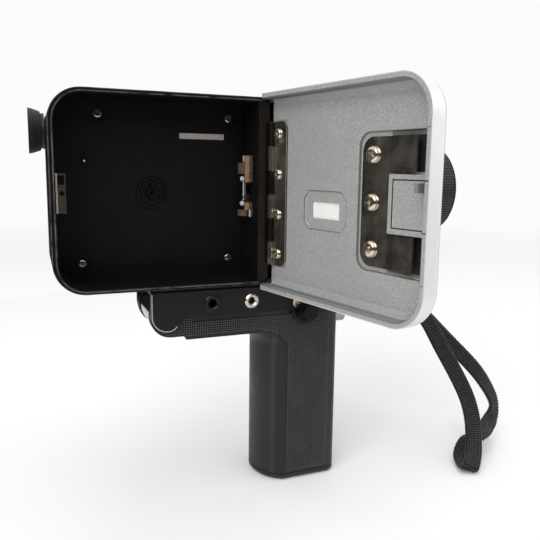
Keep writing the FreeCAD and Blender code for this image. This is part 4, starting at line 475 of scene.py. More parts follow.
def dress(finish, *nodes):
    """Gives a finish to CAD nodes or made pieces."""
    for thing in nodes:
        thing = NODES[thing] if isinstance(thing, str) else thing
        if not thing.material_slots:
            thing.data.materials.append(finish.material)
        for slot in thing.material_slots:
            slot.material = finish.material


def settle(piece, body, slot, *replaced):
    """Tells the frame which body a piece rides on and the nodes it stands for. The slot is not used."""
    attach(piece, body)
    if replaced:
        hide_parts(*replaced)


# Patterns


def spot_pattern():
    """A shape on every spot."""
    tree = Pattern("Shapes On Spots", Shape="Object", Size="Float", Finish="Material")
    return tree.finish(tree.stand("Shape", tree.input("Geometry"), size=tree.input("Size")))


def face_pattern():
    """A shape on every face, along the face's own direction, with the faces kept under them."""
    tree = Pattern("Stitches On Faces", Stitch="Object", Loose="Float", Seed="Int", Finish="Material")
    points = tree.node(
        "GeometryNodeMeshToPoints", {"mode": "FACES"}, {"Mesh": tree.input("Geometry"), "Radius": MM}
    )
    spread = tree.node(
        "FunctionNodeRandomValue", {"data_type": "FLOAT"},
        {2: 1 - tree.input("Loose"), 3: 1 + tree.input("Loose"), "Seed": tree.input("Seed")}, output=1,
    )
    return tree.finish(tree.kept_with(tree.stand("Stitch", points, size=spread)))


def rib_pattern():
    """Ribs on a circle, which is turned from the Z axis and put in its place."""
    tree = Pattern(
        "Ribs Round A Ring", Rib="Object", Ribs="Int", Radius="Float", Turn="Vector", Middle="Vector",
        Finish="Material",
    )
    circle = tree.node(
        "GeometryNodeMeshCircle", None, {"Vertices": tree.input("Ribs"), "Radius": tree.input("Radius")}
    )
    outward = tree.vector("NORMALIZE", tree.node("GeometryNodeInputPosition"))
    ribs = tree.stand("Rib", circle, outward, (0.0, 0.0, 1.0))
    stood = tree.node("GeometryNodeTransform", None, {
        "Geometry": ribs, "Rotation": tree.input("Turn"), "Translation": tree.input("Middle"),
    })
    return tree.finish(tree.kept_with(stood))


# Least part of a face's direction that points sideways where the face counts as flat.
FLAT = 0.999


def panel_pattern():
    """Small pads in rows on the flat side of a shell, clear of its edges and openings."""
    tree = Pattern(
        "Pads On A Panel", Shell="Object", Pad="Object", Width="Float", Height="Float", Pitch="Float",
        Margin="Float", Middle="Vector", Side="Float", Finish="Material",
    )
    pitch, side = tree.input("Pitch"), tree.input("Side")
    grid = tree.node("GeometryNodeMeshGrid", None, {
        "Size X": tree.input("Width"), "Size Y": tree.input("Height"),
        "Vertices X": tree.input("Width") / pitch + 1, "Vertices Y": tree.input("Height") / pitch + 1,
    })
    stood = tree.node("GeometryNodeTransform", None, {
        "Geometry": grid, "Rotation": (math.radians(90), 0.0, 0.0), "Translation": tree.input("Middle"),
    })
    shell = tree.shape("Shell")
    inward = tree.node("ShaderNodeCombineXYZ", None, {1: 0 - side})
    here = tree.node("GeometryNodeInputPosition")
    flat = []
    for x, z in ((0, 0), (1, 0), (-1, 0), (0, 1), (0, -1)):
        reach = tree.node("ShaderNodeVectorMath", {"operation": "SCALE"}, {
            0: (float(x), 0.0, float(z)), "Scale": tree.input("Margin"),
        })
        start = tree.vector("ADD", here, reach)
        ray = tree.node("GeometryNodeRaycast", None, {
            "Target Geometry": shell, "Source Position": start, "Ray Direction": inward, "Ray Length": 2 * MM,
        }, output="Hit Normal")
        flat.append(tree.axis("Y", ray) * side > FLAT)
    clear = reduce(Wire.__mul__, flat)
    kept = tree.node("GeometryNodeDeleteGeometry", None, {"Geometry": stood, "Selection": 1 - clear})
    outward = tree.node("ShaderNodeCombineXYZ", None, {1: side})
    return tree.finish(tree.stand("Pad", kept, outward, (1.0, 0.0, 0.0)))


# Finishes


def shade(colour, factor):
    """A colour made lighter or darker."""
    return tuple(part * factor for part in colour)


def worn(finish, colour, rubbed, amount=0.5):
    """Faint rubbing and dust over a plain colour."""
    patches = finish.patches(9.0, 0.48, 0.72)
    specks = finish.patches(0.55, 0.66, 0.78, 2.0)
    return finish.blend((patches * 0.6 + specks * 0.4) * amount, colour, rubbed)


def scratches(finish):
    """Fine scratches in three directions, 1 on a scratch."""
    lines = []
    for angle, pitch in ((0.3, 1.1), (1.25, 1.4), (2.4, 1.9)):
        turned = finish.node(
            "ShaderNodeMapping", None,
            {0: finish.place, 2: (angle, angle * 0.7, angle * 1.3), 3: (1 / pitch, 0.03, 0.03)},
        )
        lines.append(finish.noise(1 / 3, 1.0, place=turned).rise(0.7, 0.76))
    return reduce(Wire.over, lines)


def outline_mask(across, height, wide, tall, corner, cut=False):
    """1 along the outline of a rectangle with round or cut corners, where the door's painted shade lines and
    the rim's painted highlight lines are laid.
    """
    half_wide, half_tall = (wide[1] - wide[0]) / 2, (tall[1] - tall[0]) / 2
    x = abs(across - (wide[0] + wide[1]) / 2) - half_wide
    z = abs(height - (tall[0] + tall[1]) / 2) - half_tall
    if cut:
        away = x.over(z).over((x + z + corner) * math.sqrt(0.5))
    else:
        x, z = x + corner, z + corner
        away = (x.over(0.0) ** 2 + z.over(0.0) ** 2) ** 0.5 + x.over(z).under(0.0) - corner
    return 1 - abs(away).rise(0.14, 0.3)


def chamber_paint(colour):
    """Satin black paint on the casting, rubbed bare along the outer edge of its rim, with painted highlight
    lines along the rim's two edges.
    """
    made = Finish("chamber_paint", specular_ior_level=0.12, coat_roughness=0.14)
    back, out, height = 0 - made.along("X"), 0 - made.along("Y"), made.along("Z")
    low, _ = span("chamber_casting")
    rim = out.rise(-low.y - 1.6, -low.y - 0.2)
    grain = made.noise(0.28, 3.0, 0.6)
    dust = made.patches(0.5, 0.7, 0.8, 2.0, 0.5) * made.patches(14.0, 0.4, 0.7, 2.0, 0.5)
    rubbed = made.patches(2.2, 0.56, 0.7, 4.0, 0.65) * rim
    # Painted highlight: broken light grey lines along both edges of the rim.
    edge = reduce(Wire.over, [
        outline_mask(
            back, height, (0.0, -low.x - inset),
            (BODY_MIDDLE - BODY_HALF + inset, BODY_MIDDLE + BODY_HALF - inset), BODY_CORNER - inset,
        )
        for inset in RIM_HIGHLIGHT_EDGES
    ])
    edge = edge * out.rise(17.2, 17.4) * made.patches(6.0, 0.3, 0.6, 3.0, 0.5)
    return made.set(
        base_color=made.layers(
            worn(made, colour, shade(colour, 1.8), 0.6),
            (dust * 0.25, (0.03, 0.029, 0.027)),
            (rubbed * 0.3, (0.05, 0.05, 0.052)),
            (edge * 0.8, (0.12, 0.12, 0.125)),
        ),
        roughness=0.5 - rim * 0.18 + made.noise(6.0, 3.0) * 0.1,
        coat_weight=rim * 0.7,
        normal=made.bump(grain, 0.02, 0.5),
    )


def housing_paint(colour):
    """The same paint on the front housing, which the hands reach."""
    made = Finish("housing_paint", specular_ior_level=0.4)
    return made.set(
        base_color=worn(made, colour, (0.03, 0.03, 0.031)),
        roughness=0.4 + made.noise(7.0, 3.0) * 0.14,
        normal=made.bump(made.noise(0.3, 3.0, 0.6), 0.02, 0.5),
    )


def silver_look(made, colour):
    """Colour, roughness and relief of silver lacquer over aluminium."""
    flakes = made.cells(0.22).rise(0.1, 0.75)
    smudge = made.patches(16.0, 0.35, 0.7, 3.0, 0.55)
    base = made.layers(colour, (flakes * 0.45, shade(colour, 0.9)), (smudge * 0.15, shade(colour, 0.94)))
    return base, 0.34 + smudge * 0.06 + flakes * 0.05, made.noise(0.35, 3.0, 0.6)


def silver_lacquer(colour):
    """Silver lacquer of the outer covers, with a few scuffs."""
    made = Finish("silver_lacquer", metallic=0.55)
    base, roughness, grain = silver_look(made, colour)
    scuffs = scratches(made) * made.patches(20.0, 0.5, 0.65, 2.0, 0.5)
    return made.set(
        base_color=made.blend(scuffs * 0.5, base, (0.42, 0.42, 0.43)), roughness=roughness,
        normal=made.bump(grain, 0.012, 0.4),
    )


def door_grey(made, colour):
    """Colour, roughness and relief of the grey paint sprayed inside the door."""
    coarse = made.noise(0.9, 3.0, 0.55)
    speckle = made.noise(0.5, 3.0, 0.7)
    base = made.layers(
        made.blend(speckle.rise(0.34, 0.66), shade(colour, 0.74), shade(colour, 1.26)),
        (made.patches(26.0, 0.35, 0.7, 3.0, 0.5) * 0.3, shade(colour, 0.84)),
        (made.patches(5.0, 0.62, 0.74, 5.0, 0.7) * 0.3, shade(colour, 1.25)),
    )
    return base, 0.42 + speckle * 0.14, coarse * 0.5 + speckle * 0.5


def shut_place(made):
    """Across, depth and height of the shut door, from the hinge's axis, for the door as it stands open."""
    shut = made.turned(HINGE, DOOR_OPEN)
    return [made.axis(name, shut) for name in "XYZ"]


def door_paint(outside, inside):
    """Film door: silver lacquer outside and on its sides, grey sprayed paint on the rim and inside, with
    painted shade in the wells and along the outlines of what is moulded in.
    """
    made = Finish("door_paint")
    across, depth, height = shut_place(made)
    back, out, off = 0 - across, 0 - depth, abs(height - BODY_MIDDLE)

    # How far each point lies inside the door's outline, below 0.
    past_x = back - (DOOR_LENGTH - DOOR_CORNER)
    past_z = off - (DOOR_HALF - DOOR_CORNER)
    corner = (past_x.over(0.0) ** 2 + past_z.over(0.0) ** 2) ** 0.5
    inset = corner + past_x.over(past_z).under(0.0) - DOOR_CORNER
    wander = (made.noise(1.3, 2.0) - 0.5) * 0.2
    side = (inset + wander).rise(-0.45, -0.2)
    skin = out.rise(2.9, 3.1)
    silver = side.over(skin).over(across.rise(0.9, 1.1))
    lacquer, silver_rough, _ = silver_look(made, outside)

    # The inner wall, the ejector marks, painted shade in the latch's wells, and painted shade lines along the
    # edges of what is moulded in.
    grey, grey_rough, relief = door_grey(made, inside)
    wall = inset.rise(-2.7, -2.3) * (1 - inset.rise(-1.9, -1.6))
    pressed = reduce(Wire.over, [
        1 - abs(((across - place) ** 2 + (height - level) ** 2) ** 0.5 - EJECTOR_RADIUS).rise(0.05, 0.22)
        for place, level in EJECTOR_MARKS
    ])
    # Painted shade: near black deep in the wells.
    well_shade = out.rise(1.7, 2.2) * back.rise(66.0, 67.0) * off.rise(9.9, 10.1) * (1 - off.rise(23.9, 24.2))
    # Painted shade lines round the latch lid, the pane's recess and the spring's seat.
    lid = outline_mask(back, height, *LATCH_LID) * depth.rise(-0.6, -0.4)
    recess = outline_mask(back, height, *PANE_RECESS, cut=True)
    plate = outline_mask(back, height, *SPRING_SEAT)
    grey = made.layers(
        grey,
        (wall * 0.8, tuple(part * k for part, k in zip(inside, (0.5, 0.52, 0.58)))),
        (pressed * 0.35, shade(inside, 0.6)),
        (well_shade * 0.97, (0.006, 0.0055, 0.005)),
        ((lid * 0.95).over(recess * 0.55).over(plate * 0.5), (0.014, 0.014, 0.014)),
    )
    return made.set(
        base_color=made.blend(silver, grey, lacquer),
        metallic=0.12 + silver * 0.4 + wall * 0.4,
        roughness=made.node("ShaderNodeMix", None, {0: silver, 2: grey_rough, 3: silver_rough}),
        normal=made.bump(relief - pressed * 0.8, 0.06, 0.55),
    )


def latch_paint(inside):
    """Latch slide: the door's grey on its lid, and bare dark steel on the hook that stands up."""
    made = Finish("latch_paint")
    _, depth, _ = shut_place(made)
    hook = depth.rise(0.4, 0.5)
    grey, rough, relief = door_grey(made, inside)
    return made.set(
        base_color=made.blend(hook * 0.3, grey, (0.16, 0.15, 0.14)),
        metallic=0.12 + hook * 0.3,
        roughness=rough - hook * 0.1,
        normal=made.bump(relief, 0.05, 0.5),
    )


def polished_steel(name, colour, roughness, grain=(1.0, 1.0, 0.04), wave=0.035):
    """Nickelled or polished sheet: rolling lines, slow waves and finger marks."""
    made = Finish(name)
    lines = made.noise(0.5, 2.0, 0.5, made.stretched(grain))
    smudge = made.patches(7.0, 0.35, 0.78, 4.0, 0.55)
    stains = made.patches(0.8, 0.62, 0.75, 3.0)
    waves = made.bump(made.noise(9.0, 1.0), wave, 0.6)
    return made.set(
        base_color=made.blend(smudge * 0.3 + stains * 0.15, colour, shade(colour, 0.85)),
        metallic=0.96 - smudge * 0.08,
        roughness=roughness + smudge * 0.05 + lines * 0.02,
        normal=made.bump(lines, 0.0004, 0.3, waves),
    )


def gate_steel():
    """Film gate: dark blued plate with bright locating pins and polished film edges."""
    made = Finish("gate_steel")
    pins = (0 - made.along("X")).rise(24.5, 24.7)
    smudge = made.patches(3.0, 0.4, 0.7)
    base = made.blend(smudge * 0.5, (0.11, 0.10, 0.09), (0.18, 0.165, 0.15))
    return made.set(
        base_color=made.blend(pins, base, (0.86, 0.86, 0.84)),
        metallic=1 - pins * 0.7, roughness=0.26 - pins * 0.04 + smudge * 0.08,
    )


def strike_steel():
    """Strike plate of the latch: browned steel, bright where the door rubs its edge."""
    made = Finish("strike_steel")
    rubbed = (0 - made.along("X")).rise(103.5, 103.8)
    smudge = made.patches(2.0, 0.4, 0.7)
    base = made.blend(smudge * 0.5, (0.13, 0.108, 0.08), (0.085, 0.07, 0.05))
    return made.set(
        base_color=made.blend(rubbed, base, (0.74, 0.66, 0.56)),
        metallic=0.85 - rubbed * 0.3, roughness=0.26 + smudge * 0.1,
    )


def guide_copper():
    """Film guides: browned blocks and copper rails."""
    made = Finish("guide_copper", metallic=0.75)
    rails = (0 - made.along("Y")).rise(9.0, 9.6)
    worn_edge = (0 - made.along("X")).rise(26.1, 26.4)
    smudge = made.patches(2.0, 0.4, 0.7)
    return made.set(
        base_color=made.layers(
            made.blend(smudge * 0.5, (0.42, 0.28, 0.17), (0.28, 0.18, 0.10)),
            (rails, (0.72, 0.48, 0.31)),
            (worn_edge, (0.52, 0.37, 0.25)),
        ),
        roughness=0.3 + smudge * 0.1,
        normal=made.bump(made.noise(0.4, 2.0), 0.004, 0.4),
    )


def lathe_marks(made, axis, centre):
    """Fine rings about a line along X or Y, and finger marks."""
    rings = made.node(
        "ShaderNodeTexNoise", {"noise_dimensions": "1D"},
        {"W": made.distance(axis, centre) * 9.0, "Detail": 2.0},
    )
    return rings, made.patches(4.0, 0.4, 0.72)


def turned_metal(name, colour, roughness, axis="X", centre=OPTIC, depth=0.004):
    """Metal from the lathe: fine rings about a line."""
    made = Finish(name, metallic=1.0)
    rings, smudge = lathe_marks(made, axis, centre)
    return made.set(
        base_color=made.blend(smudge * 0.3, colour, shade(colour, 0.8)),
        roughness=roughness + rings * 0.08 + smudge * 0.06,
        normal=made.bump(rings, depth, 0.4),
    )


def dial_metal(node, centre, face):
    """Turned aluminium with a black filled pointer groove."""
    made = Finish(node + "_metal")
    rings, smudge = lathe_marks(made, "Y", (centre.x, centre.z))
    across, depth, height = made.along("X") - centre.x, face - made.along("Y"), made.along("Z") - centre.z
    ink = (depth - 0.37).rise(0.0, 0.05) * (1 - (depth - 0.8).rise(0.0, 0.05))
    ink = ink * (1 - abs(across).rise(0.38, 0.42)) * height.rise(1.5, 1.6) * (1 - height.rise(6.9, 7.0))
    base = made.blend(smudge * 0.3, (0.66, 0.66, 0.67), (0.52, 0.52, 0.53))
    return made.set(
        base_color=made.blend(ink, base, (0.01, 0.01, 0.01)), metallic=1 - ink,
        roughness=0.26 + rings * 0.08 + smudge * 0.06, normal=made.bump(rings, 0.004, 0.4),
    )


def socket_nickel(centre):
    """Nickelled ring round the cable release's thread, with painted shade in its bore."""
    made = Finish("socket_nickel", metallic=1.0)
    # Painted shade: the bore is painted near black.
    bore = 1 - made.distance("Y", centre).rise(1.25, 1.45)
    smudge = made.patches(1.5, 0.4, 0.72)
    base = made.blend(smudge * 0.35, (0.70, 0.62, 0.56), (0.5, 0.43, 0.38))
    return made.set(
        base_color=made.blend(bore, base, (0.035, 0.03, 0.027)), roughness=0.22 + smudge * 0.1 + bore * 0.15
    )


def moulded(name, colour, roughness=0.5, grain=0.3, depth=0.02, gloss=0.42):
    """Moulded black plastic: fine spark-eroded grain, and a little polish where hands rub it."""
    made = Finish(name, specular_ior_level=gloss)
    fine = made.noise(grain, 3.0, 0.65)
    return made.set(
        base_color=worn(made, colour, shade(colour, HAND_RUBBED), 0.45),
        roughness=roughness - made.patches(11.0, 0.42, 0.7, 3.0, 0.55) * 0.1 + fine * 0.1,
        normal=made.bump(fine, depth, 0.5),
    )


def grip_plastic(colour):
    """Grain of the shells, with a painted highlight and less roughness along a crest of the handle, painted
    shade to both sides of that crest, and darker on the arm.
    """
    made = Finish("grip_plastic", specular_ior_level=0.42)
    x, z = made.along("X"), made.along("Z")
    back = 0 - x
    handle = x.rise(-20.0, -19.0) * (0 - z).rise(-80.0, -72.0)
    # Painted shade behind and beside the crest, and darker on the arm; a painted highlight on the crest.
    behind = back.rise(7.4, 7.9) * handle
    ridge_highlight = back.rise(11.4, 12.2) * (1 - back.rise(12.8, 13.6)) * handle
    hollow_shade = back.rise(7.6, 8.2) * (1 - back.rise(10.9, 11.6)) * handle
    arm = back.rise(19.0, 22.0)
    fine = made.noise(0.26, 3.0, 0.65)
    return made.set(
        base_color=made.layers(
            worn(made, colour, shade(colour, HAND_RUBBED), 0.45),
            ((behind * 0.5).over(hollow_shade * 0.85).over(arm * 0.8), shade(colour, 0.2)),
            (ridge_highlight, shade(colour, 1.3)),
        ),
        roughness=0.44 - made.patches(11.0, 0.42, 0.7, 3.0, 0.55) * 0.1 + fine * 0.1 - ridge_highlight * 0.08,
        normal=made.bump(fine, 0.014, 0.5),
    )


def rubber(name, colour):
    """Soft moulded rubber, dull, with pale bloom in patches."""
    made = Finish(name, specular_ior_level=0.3, sheen_weight=0.12, sheen_roughness=0.5)
    bloom = made.patches(3.5, 0.45, 0.72)
    return made.set(
        base_color=made.blend(bloom * 0.4, colour, tuple(part * 2.2 + 0.004 for part in colour)),
        roughness=0.66 + bloom * 0.14,
        normal=made.bump(made.noise(0.22, 3.0, 0.6), 0.018, 0.5),
    )


def webbing(colour):
    """Dull synthetic yarn: painted shade between the stitches, uneven dye, fine filaments and a few pale
    fibres.
    """
    made = Finish("strap_yarn", specular_ior_level=0.3, sheen_weight=0.2, sheen_roughness=0.45)
    dye = made.patches(2.6, 0.3, 0.7)
    pale = made.patches(0.5, 0.68, 0.78, 3.0, 0.7)
    yarn = made.layers(
        made.blend(dye, shade(colour, 0.8), shade(colour, 1.35)), (pale * 0.4, (0.16, 0.155, 0.14))
    )
    # Painted shade: near black at the stitches' feet and between them.
    return made.set(
        base_color=made.blend(made.top().rise(0.05, 0.7), shade(colour, 0.06), yarn),
        roughness=0.7, normal=made.bump(made.noise(0.12, 2.0, 0.6), 0.02, 0.4),
    )


def ribbed_plastic(name, colour):
    """Moulded ribs: black between them, with painted highlights on their tops."""
    made = Finish(name, specular_ior_level=0.45)
    fine = made.noise(0.25, 3.0, 0.6)
    top = made.top().rise(0.4, 1.0)
    patches = made.patches(6.0, 0.4, 0.7, 3.0, 0.55)
    # Painted highlight on the ribs' tops, uneven in patches.
    tops = made.blend(patches * 0.4, shade(colour, 3.2), shade(colour, 5.0))
    return made.set(
        base_color=made.blend(top, colour, tops),
        roughness=0.44 - top * 0.1 + fine * 0.08,
        normal=made.bump(fine, 0.01, 0.4),
    )


def frosted_pane(name):
    """Milky acrylic of the door's window."""
    made = Finish(name, specular_ior_level=0.5, transmission_weight=0.1)
    smudge = made.patches(6.0, 0.3, 0.8, 2.0, 0.5)
    return made.set(
        base_color=made.blend(smudge * 0.2, (0.97, 0.97, 0.95), (0.9, 0.9, 0.88)),
        roughness=0.24 + smudge * 0.08,
    )


def glass(name, tint=(1.0, 1.0, 1.0), coated=0.3):
    """Lens or pane glass with a thin coating and a trace of dust."""
    made = Finish(name, transmission_weight=1.0, ior=1.52, coat_ior=1.7, coat_tint=(0.8, 0.72, 1.0))
    dust = made.patches(0.7, 0.62, 0.8, 4.0, 0.7)
    return made.set(
        base_color=made.blend(dust * 0.04, tint, (0.7, 0.7, 0.68)),
        roughness=dust * 0.015,
        coat_weight=coated + dust * 0.05,
    )


def circuit_lacquer():
    """Green board with copper ways under the lacquer."""
    made = Finish("circuit_lacquer", specular_ior_level=0.5)
    ways = made.cells(2.4, "DISTANCE_TO_EDGE", 0.6).rise(0.1, 0.16)
    return made.set(
        base_color=made.blend(ways, (0.10, 0.16, 0.03), (0.012, 0.07, 0.025)),
        roughness=0.3 + made.noise(1.5) * 0.2, normal=made.bump(ways, 0.03, 0.4),
    )


def cell_jacket():
    """Battery cells: printed sleeve with two plain bands, and bare ends."""
    made = Finish("cell_jacket", specular_ior_level=0.5)
    low, high = span("battery_cells")
    part = (made.along("Z") - low.z) / (high.z - low.z)
    band = part.rise(0.30, 0.31) - part.rise(0.36, 0.37) + part.rise(0.80, 0.81) - part.rise(0.86, 0.87)
    ends = 1 - part.rise(0.015, 0.03) + part.rise(0.97, 0.985)
    return made.set(
        base_color=made.layers((0.05, 0.075, 0.11), (band, (0.5, 0.38, 0.2)), (ends, (0.6, 0.6, 0.58))),
        metallic=ends * 0.9, roughness=0.32 + made.noise(3.0) * 0.12,
    )


def foil():
    """Blank foil plate: dull aluminium print with fine brushing and small stains."""
    made = Finish("name_plate_foil", metallic=0.25)
    brushed = made.noise(0.2, 2.0, 0.6, made.stretched((0.05, 1.0, 1.0)))
    stain = made.patches(1.6, 0.5, 0.7, 4.0, 0.65)
    base = made.blend(brushed * 0.5, (0.48, 0.43, 0.40), (0.36, 0.32, 0.30))
    return made.set(base_color=made.blend(stain * 0.5, base, (0.30, 0.26, 0.24)), roughness=0.42 + stain * 0.1)


def printed(name, colour):
    """Pad-printed ink, slightly uneven."""
    made = Finish(name, specular_ior_level=0.4)
    thin = made.patches(0.5, 0.4, 0.7, 3.0, 0.5)
    return made.set(
        base_color=made.blend(thin * 0.2, colour, shade(colour, 0.7)), roughness=0.45 + made.noise(0.6) * 0.1
    )


# Sizes and colours that a user changes


def length(name, description, default):
    return FloatProperty(name=name, description=description, default=default * MM, unit="LENGTH", precision=5)


def colour(name, description, default):
    return FloatVectorProperty(
        name=name, description=description, default=default, size=3, min=0.0, max=1.0, subtype="COLOR"
    )


class CameraColours(bpy.types.PropertyGroup):
    chamber: colour("Chamber", "Satin black of the film chamber", (0.0042, 0.0042, 0.0046))
    silver: colour("Silver", "Lacquer of the outer covers", (0.76, 0.75, 0.775))
    door: colour("Door inside", "Sprayed grey inside the film door", (0.372, 0.375, 0.369))
    steel: colour("Steel", "Polished sheet of the leaf and the spring", (0.56, 0.51, 0.44))
    grip: colour("Grip", "Black plastic of the grip", (0.013, 0.013, 0.0138))
    strap: colour("Strap", "Yarn of the wrist strap", (0.06, 0.058, 0.059))


class StrapSizes(bpy.types.PropertyGroup):
    width: length("Width", "Width of the flat braid", 8.5)
    thickness: length("Thickness", "Thickness of the flat braid", 2.3)
    stitch: length("Stitch", "Distance from one stitch to the next", 1.2)
    columns: IntProperty(name="Columns", description="Stitch columns on each face", default=6, min=4, max=12)
    slant: FloatProperty(
        name="Slant", description="Turn of a stitch from the strap's line",
        default=math.radians(50), subtype="ANGLE",
    )
    length: length("Length", "Length from one end to the other", 315.0)


class RingSizes(bpy.types.PropertyGroup):
    focus_ribs: IntProperty(name="Focus ribs", description="Ribs round the focus ring", default=98, min=24)
    zoom_ribs: IntProperty(name="Zoom ribs", description="Ribs round the zoom ring", default=72, min=24)
    rib_height: length("Rib height", "How far a rib stands up", 0.45)
    rib_width: length("Rib width", "Width of a rib at its foot", 0.72)


class GripSizes(bpy.types.PropertyGroup):
    pitch: length("Pitch", "Distance between the pads of the grip's sides", 1.0)
    pad: length("Pad", "Width of a pad", 0.66)
    rise: length("Rise", "Height of a pad", 0.16)
    margin: length("Margin", "Bare strip between the pads and an edge", 1.3)


class DialSizes(bpy.types.PropertyGroup):
    ribs: IntProperty(name="Ribs", description="Ribs round a dial", default=44, min=12)
    figure: length("Figure", "Height of a dial's figures", 2.6)
    tick: length("Tick", "Length of a tick on the cover", 1.6)


class StudioSizes(bpy.types.PropertyGroup):
    focal: FloatProperty(
        name="Focal length", description="Focal length of the view", default=40.0, unit="CAMERA"
    )
    floor: FloatProperty(name="Floor", description="Radius of the pale floor", default=9.0, unit="LENGTH")
    daylight: FloatProperty(name="Daylight", description="Strength of the light from all round", default=0.44)
    window: FloatProperty(name="Window", description="Power of the soft light at the left", default=18.5)


GROUPS = {
    "colours": CameraColours, "strap": StrapSizes, "rings": RingSizes, "grip": GripSizes,
    "dials": DialSizes, "studio": StudioSizes,
}


def sizes(context, group):
    return getattr(context.scene, "movie_camera_" + group)


# Studio

BACKGROUND = (0.975, 0.968, 0.955, 1)
# The photograph's eye, from its vanishing lines: place in millimetres, turns in radians, and shift.
EYE = (-112.8817, -260.1079, 146.3298)
EYE_TURN, EYE_TILT, EYE_ROLL = -0.3786320480881125, 0.14634561395732268, 0.012809624229873622
EYE_SHIFT = -0.02607
# What the lamps look at, and each lamp: place, width, and power as a share of the window's. In metres.
LIT_PLACE = (-0.03, -0.02, 0.09)
LAMPS = (
    ("window", (-1.1, -1.0, 1.15), 1.3, 1.0),
    ("ceiling", (0.15, -0.1, 1.7), 1.8, 0.75),
    ("wall", (1.3, -0.7, 0.7), 1.2, 0.25),
)


class MOVIECAMERA_OT_studio(bpy.types.Operator):
    """Camera of the photograph, pale floor, soft lights and white surroundings"""

    bl_idname = "movie_camera.studio"
    bl_label = "Studio"

    def execute(self, context):
        settings = sizes(context, "studio")
        context.scene.view_settings.view_transform = "Standard"
        self.viewpoint(context, settings)
        self.surroundings(context, settings)
        self.floor(settings)
        self.lamps(settings)
        self.screen()
        return {"FINISHED"}

    def viewpoint(self, context, settings):
        """The photograph's eye: it looks a little down and to the right."""
        right = Vector((math.cos(EYE_TURN), math.sin(EYE_TURN), 0))
        level = Vector((-math.sin(EYE_TURN), math.cos(EYE_TURN), 0))
        up = Vector((0, 0, math.cos(EYE_TILT))) + level * math.sin(EYE_TILT)
        back = Vector((0, 0, math.sin(EYE_TILT))) - level * math.cos(EYE_TILT)
        rolled_right = right * math.cos(EYE_ROLL) + up * math.sin(EYE_ROLL)
        rolled_up = up * math.cos(EYE_ROLL) - right * math.sin(EYE_ROLL)
        lens = bpy.data.cameras.new("viewpoint")
        lens.lens = settings.focal
        lens.sensor_width = 36.0
        lens.shift_y = EYE_SHIFT
        lens.clip_start = 0.01
        camera = add("viewpoint", lens)
        turned = Matrix((rolled_right, rolled_up, back)).transposed().to_4x4()
        camera.matrix_world = Matrix.Translation(Vector(EYE) * MM) @ turned
        context.scene.camera = camera

    def seen(self, tree):
        """1 where the camera, a mirror or a glass looks, and 0 for the light that falls on things."""
        path = tree.tree.nodes.new("ShaderNodeLightPath")
        return reduce(Wire.over, [
            Wire(tree, path.outputs["Is " + kind + " Ray"]) for kind in ("Camera", "Glossy", "Transmission")
        ])

    def surroundings(self, context, settings):
        world = bpy.data.worlds.new("white_room")
        world.use_nodes = True
        context.scene.world = world
        room = Tree()
        room.tree = world.node_tree
        room.tree.nodes.clear()
        seen = self.seen(room)
        lit = room.node("ShaderNodeBackground", None, {"Color": (1, 1, 1, 1), "Strength": settings.daylight})
        shown = room.node("ShaderNodeBackground", None, {"Color": BACKGROUND, "Strength": 1.0})
        mixed = room.node("ShaderNodeMixShader", None, {0: seen, 1: lit, 2: shown})
        output = room.tree.nodes.new("ShaderNodeOutputWorld")
        room.tree.links.new(mixed.socket, output.inputs[0])

    def floor(self, settings):
        low, high, radius = -1.0, -0.2, settings.floor / MM
        floor = add("floor", lathe("floor", [(low, 0.0), (high, 0.0), (high, radius), (low, radius)]))
        made = Finish("pale_floor", specular_ior_level=0.1)
        x, y = made.along("X"), made.along("Y")
        far = ((x * x + y * y) ** 0.5).rise(350.0, 1500.0)
        tone = made.noise(300.0, 2.0) * 0.03
        made.set(base_color=made.blend(tone, (0.93, 0.925, 0.915), (0.86, 0.855, 0.85)), roughness=0.6)
        lift = made.node("ShaderNodeEmission", None, {"Color": (1, 0.995, 0.985, 1), "Strength": 0.06})
        paper = made.node("ShaderNodeEmission", None, {"Color": BACKGROUND, "Strength": 1.0})
        shade = Wire(made, made.shader.outputs[0])
        lifted = made.node("ShaderNodeAddShader", None, {0: shade, 1: lift})
        shown = made.node("ShaderNodeMixShader", None, {0: far, 1: lifted, 2: paper})
        mixed = made.node("ShaderNodeMixShader", None, {0: self.seen(made), 1: shade, 2: shown})
        output = next(node for node in made.tree.nodes if node.type == "OUTPUT_MATERIAL")
        made.tree.links.new(mixed.socket, output.inputs["Surface"])
        dress(made, floor)

    def lamps(self, settings):
        for name, place, wide, share in LAMPS:
            data = bpy.data.lights.new(name, "AREA")
            data.shape = "SQUARE"
            data.size = wide
            data.energy = settings.window * share
            lamp = add(name, data)
            lamp.location = place
            lamp.rotation_euler = (Vector(LIT_PLACE) - lamp.location).to_track_quat("-Z", "Y").to_euler()

    def screen(self):
        """A low dark screen behind the photographer's place, which only mirrors see."""
        steps, start, sweep = 48, 70, 250
        radius, tall, x_middle, y_middle = 480, 300.0, -50, -20

        def build(work):
            rows = []
            for k in range(steps + 1):
                angle = math.radians(start + sweep * k / steps)
                x, y = x_middle + radius * math.cos(angle), y_middle + radius * math.sin(angle)
                rows.append([work.verts.new((x, y, z)) for z in (0.0, tall)])
            for before, after in zip(rows, rows[1:]):
                work.faces.new([before[0], after[0], after[1], before[1]])

        screen = add("dark_screen", mesh_of("dark_screen", build))
        made = Finish("dark_screen", specular_ior_level=0.0)
        made.set(
            base_color=made.blend(made.noise(80.0), (0.012, 0.011, 0.010), (0.03, 0.026, 0.022)),
            roughness=0.9,
        )
        dress(made, screen)
        for ray in ("camera", "diffuse", "transmission", "volume_scatter", "shadow"):
            setattr(screen, "visible_" + ray, False)


# Wrist strap

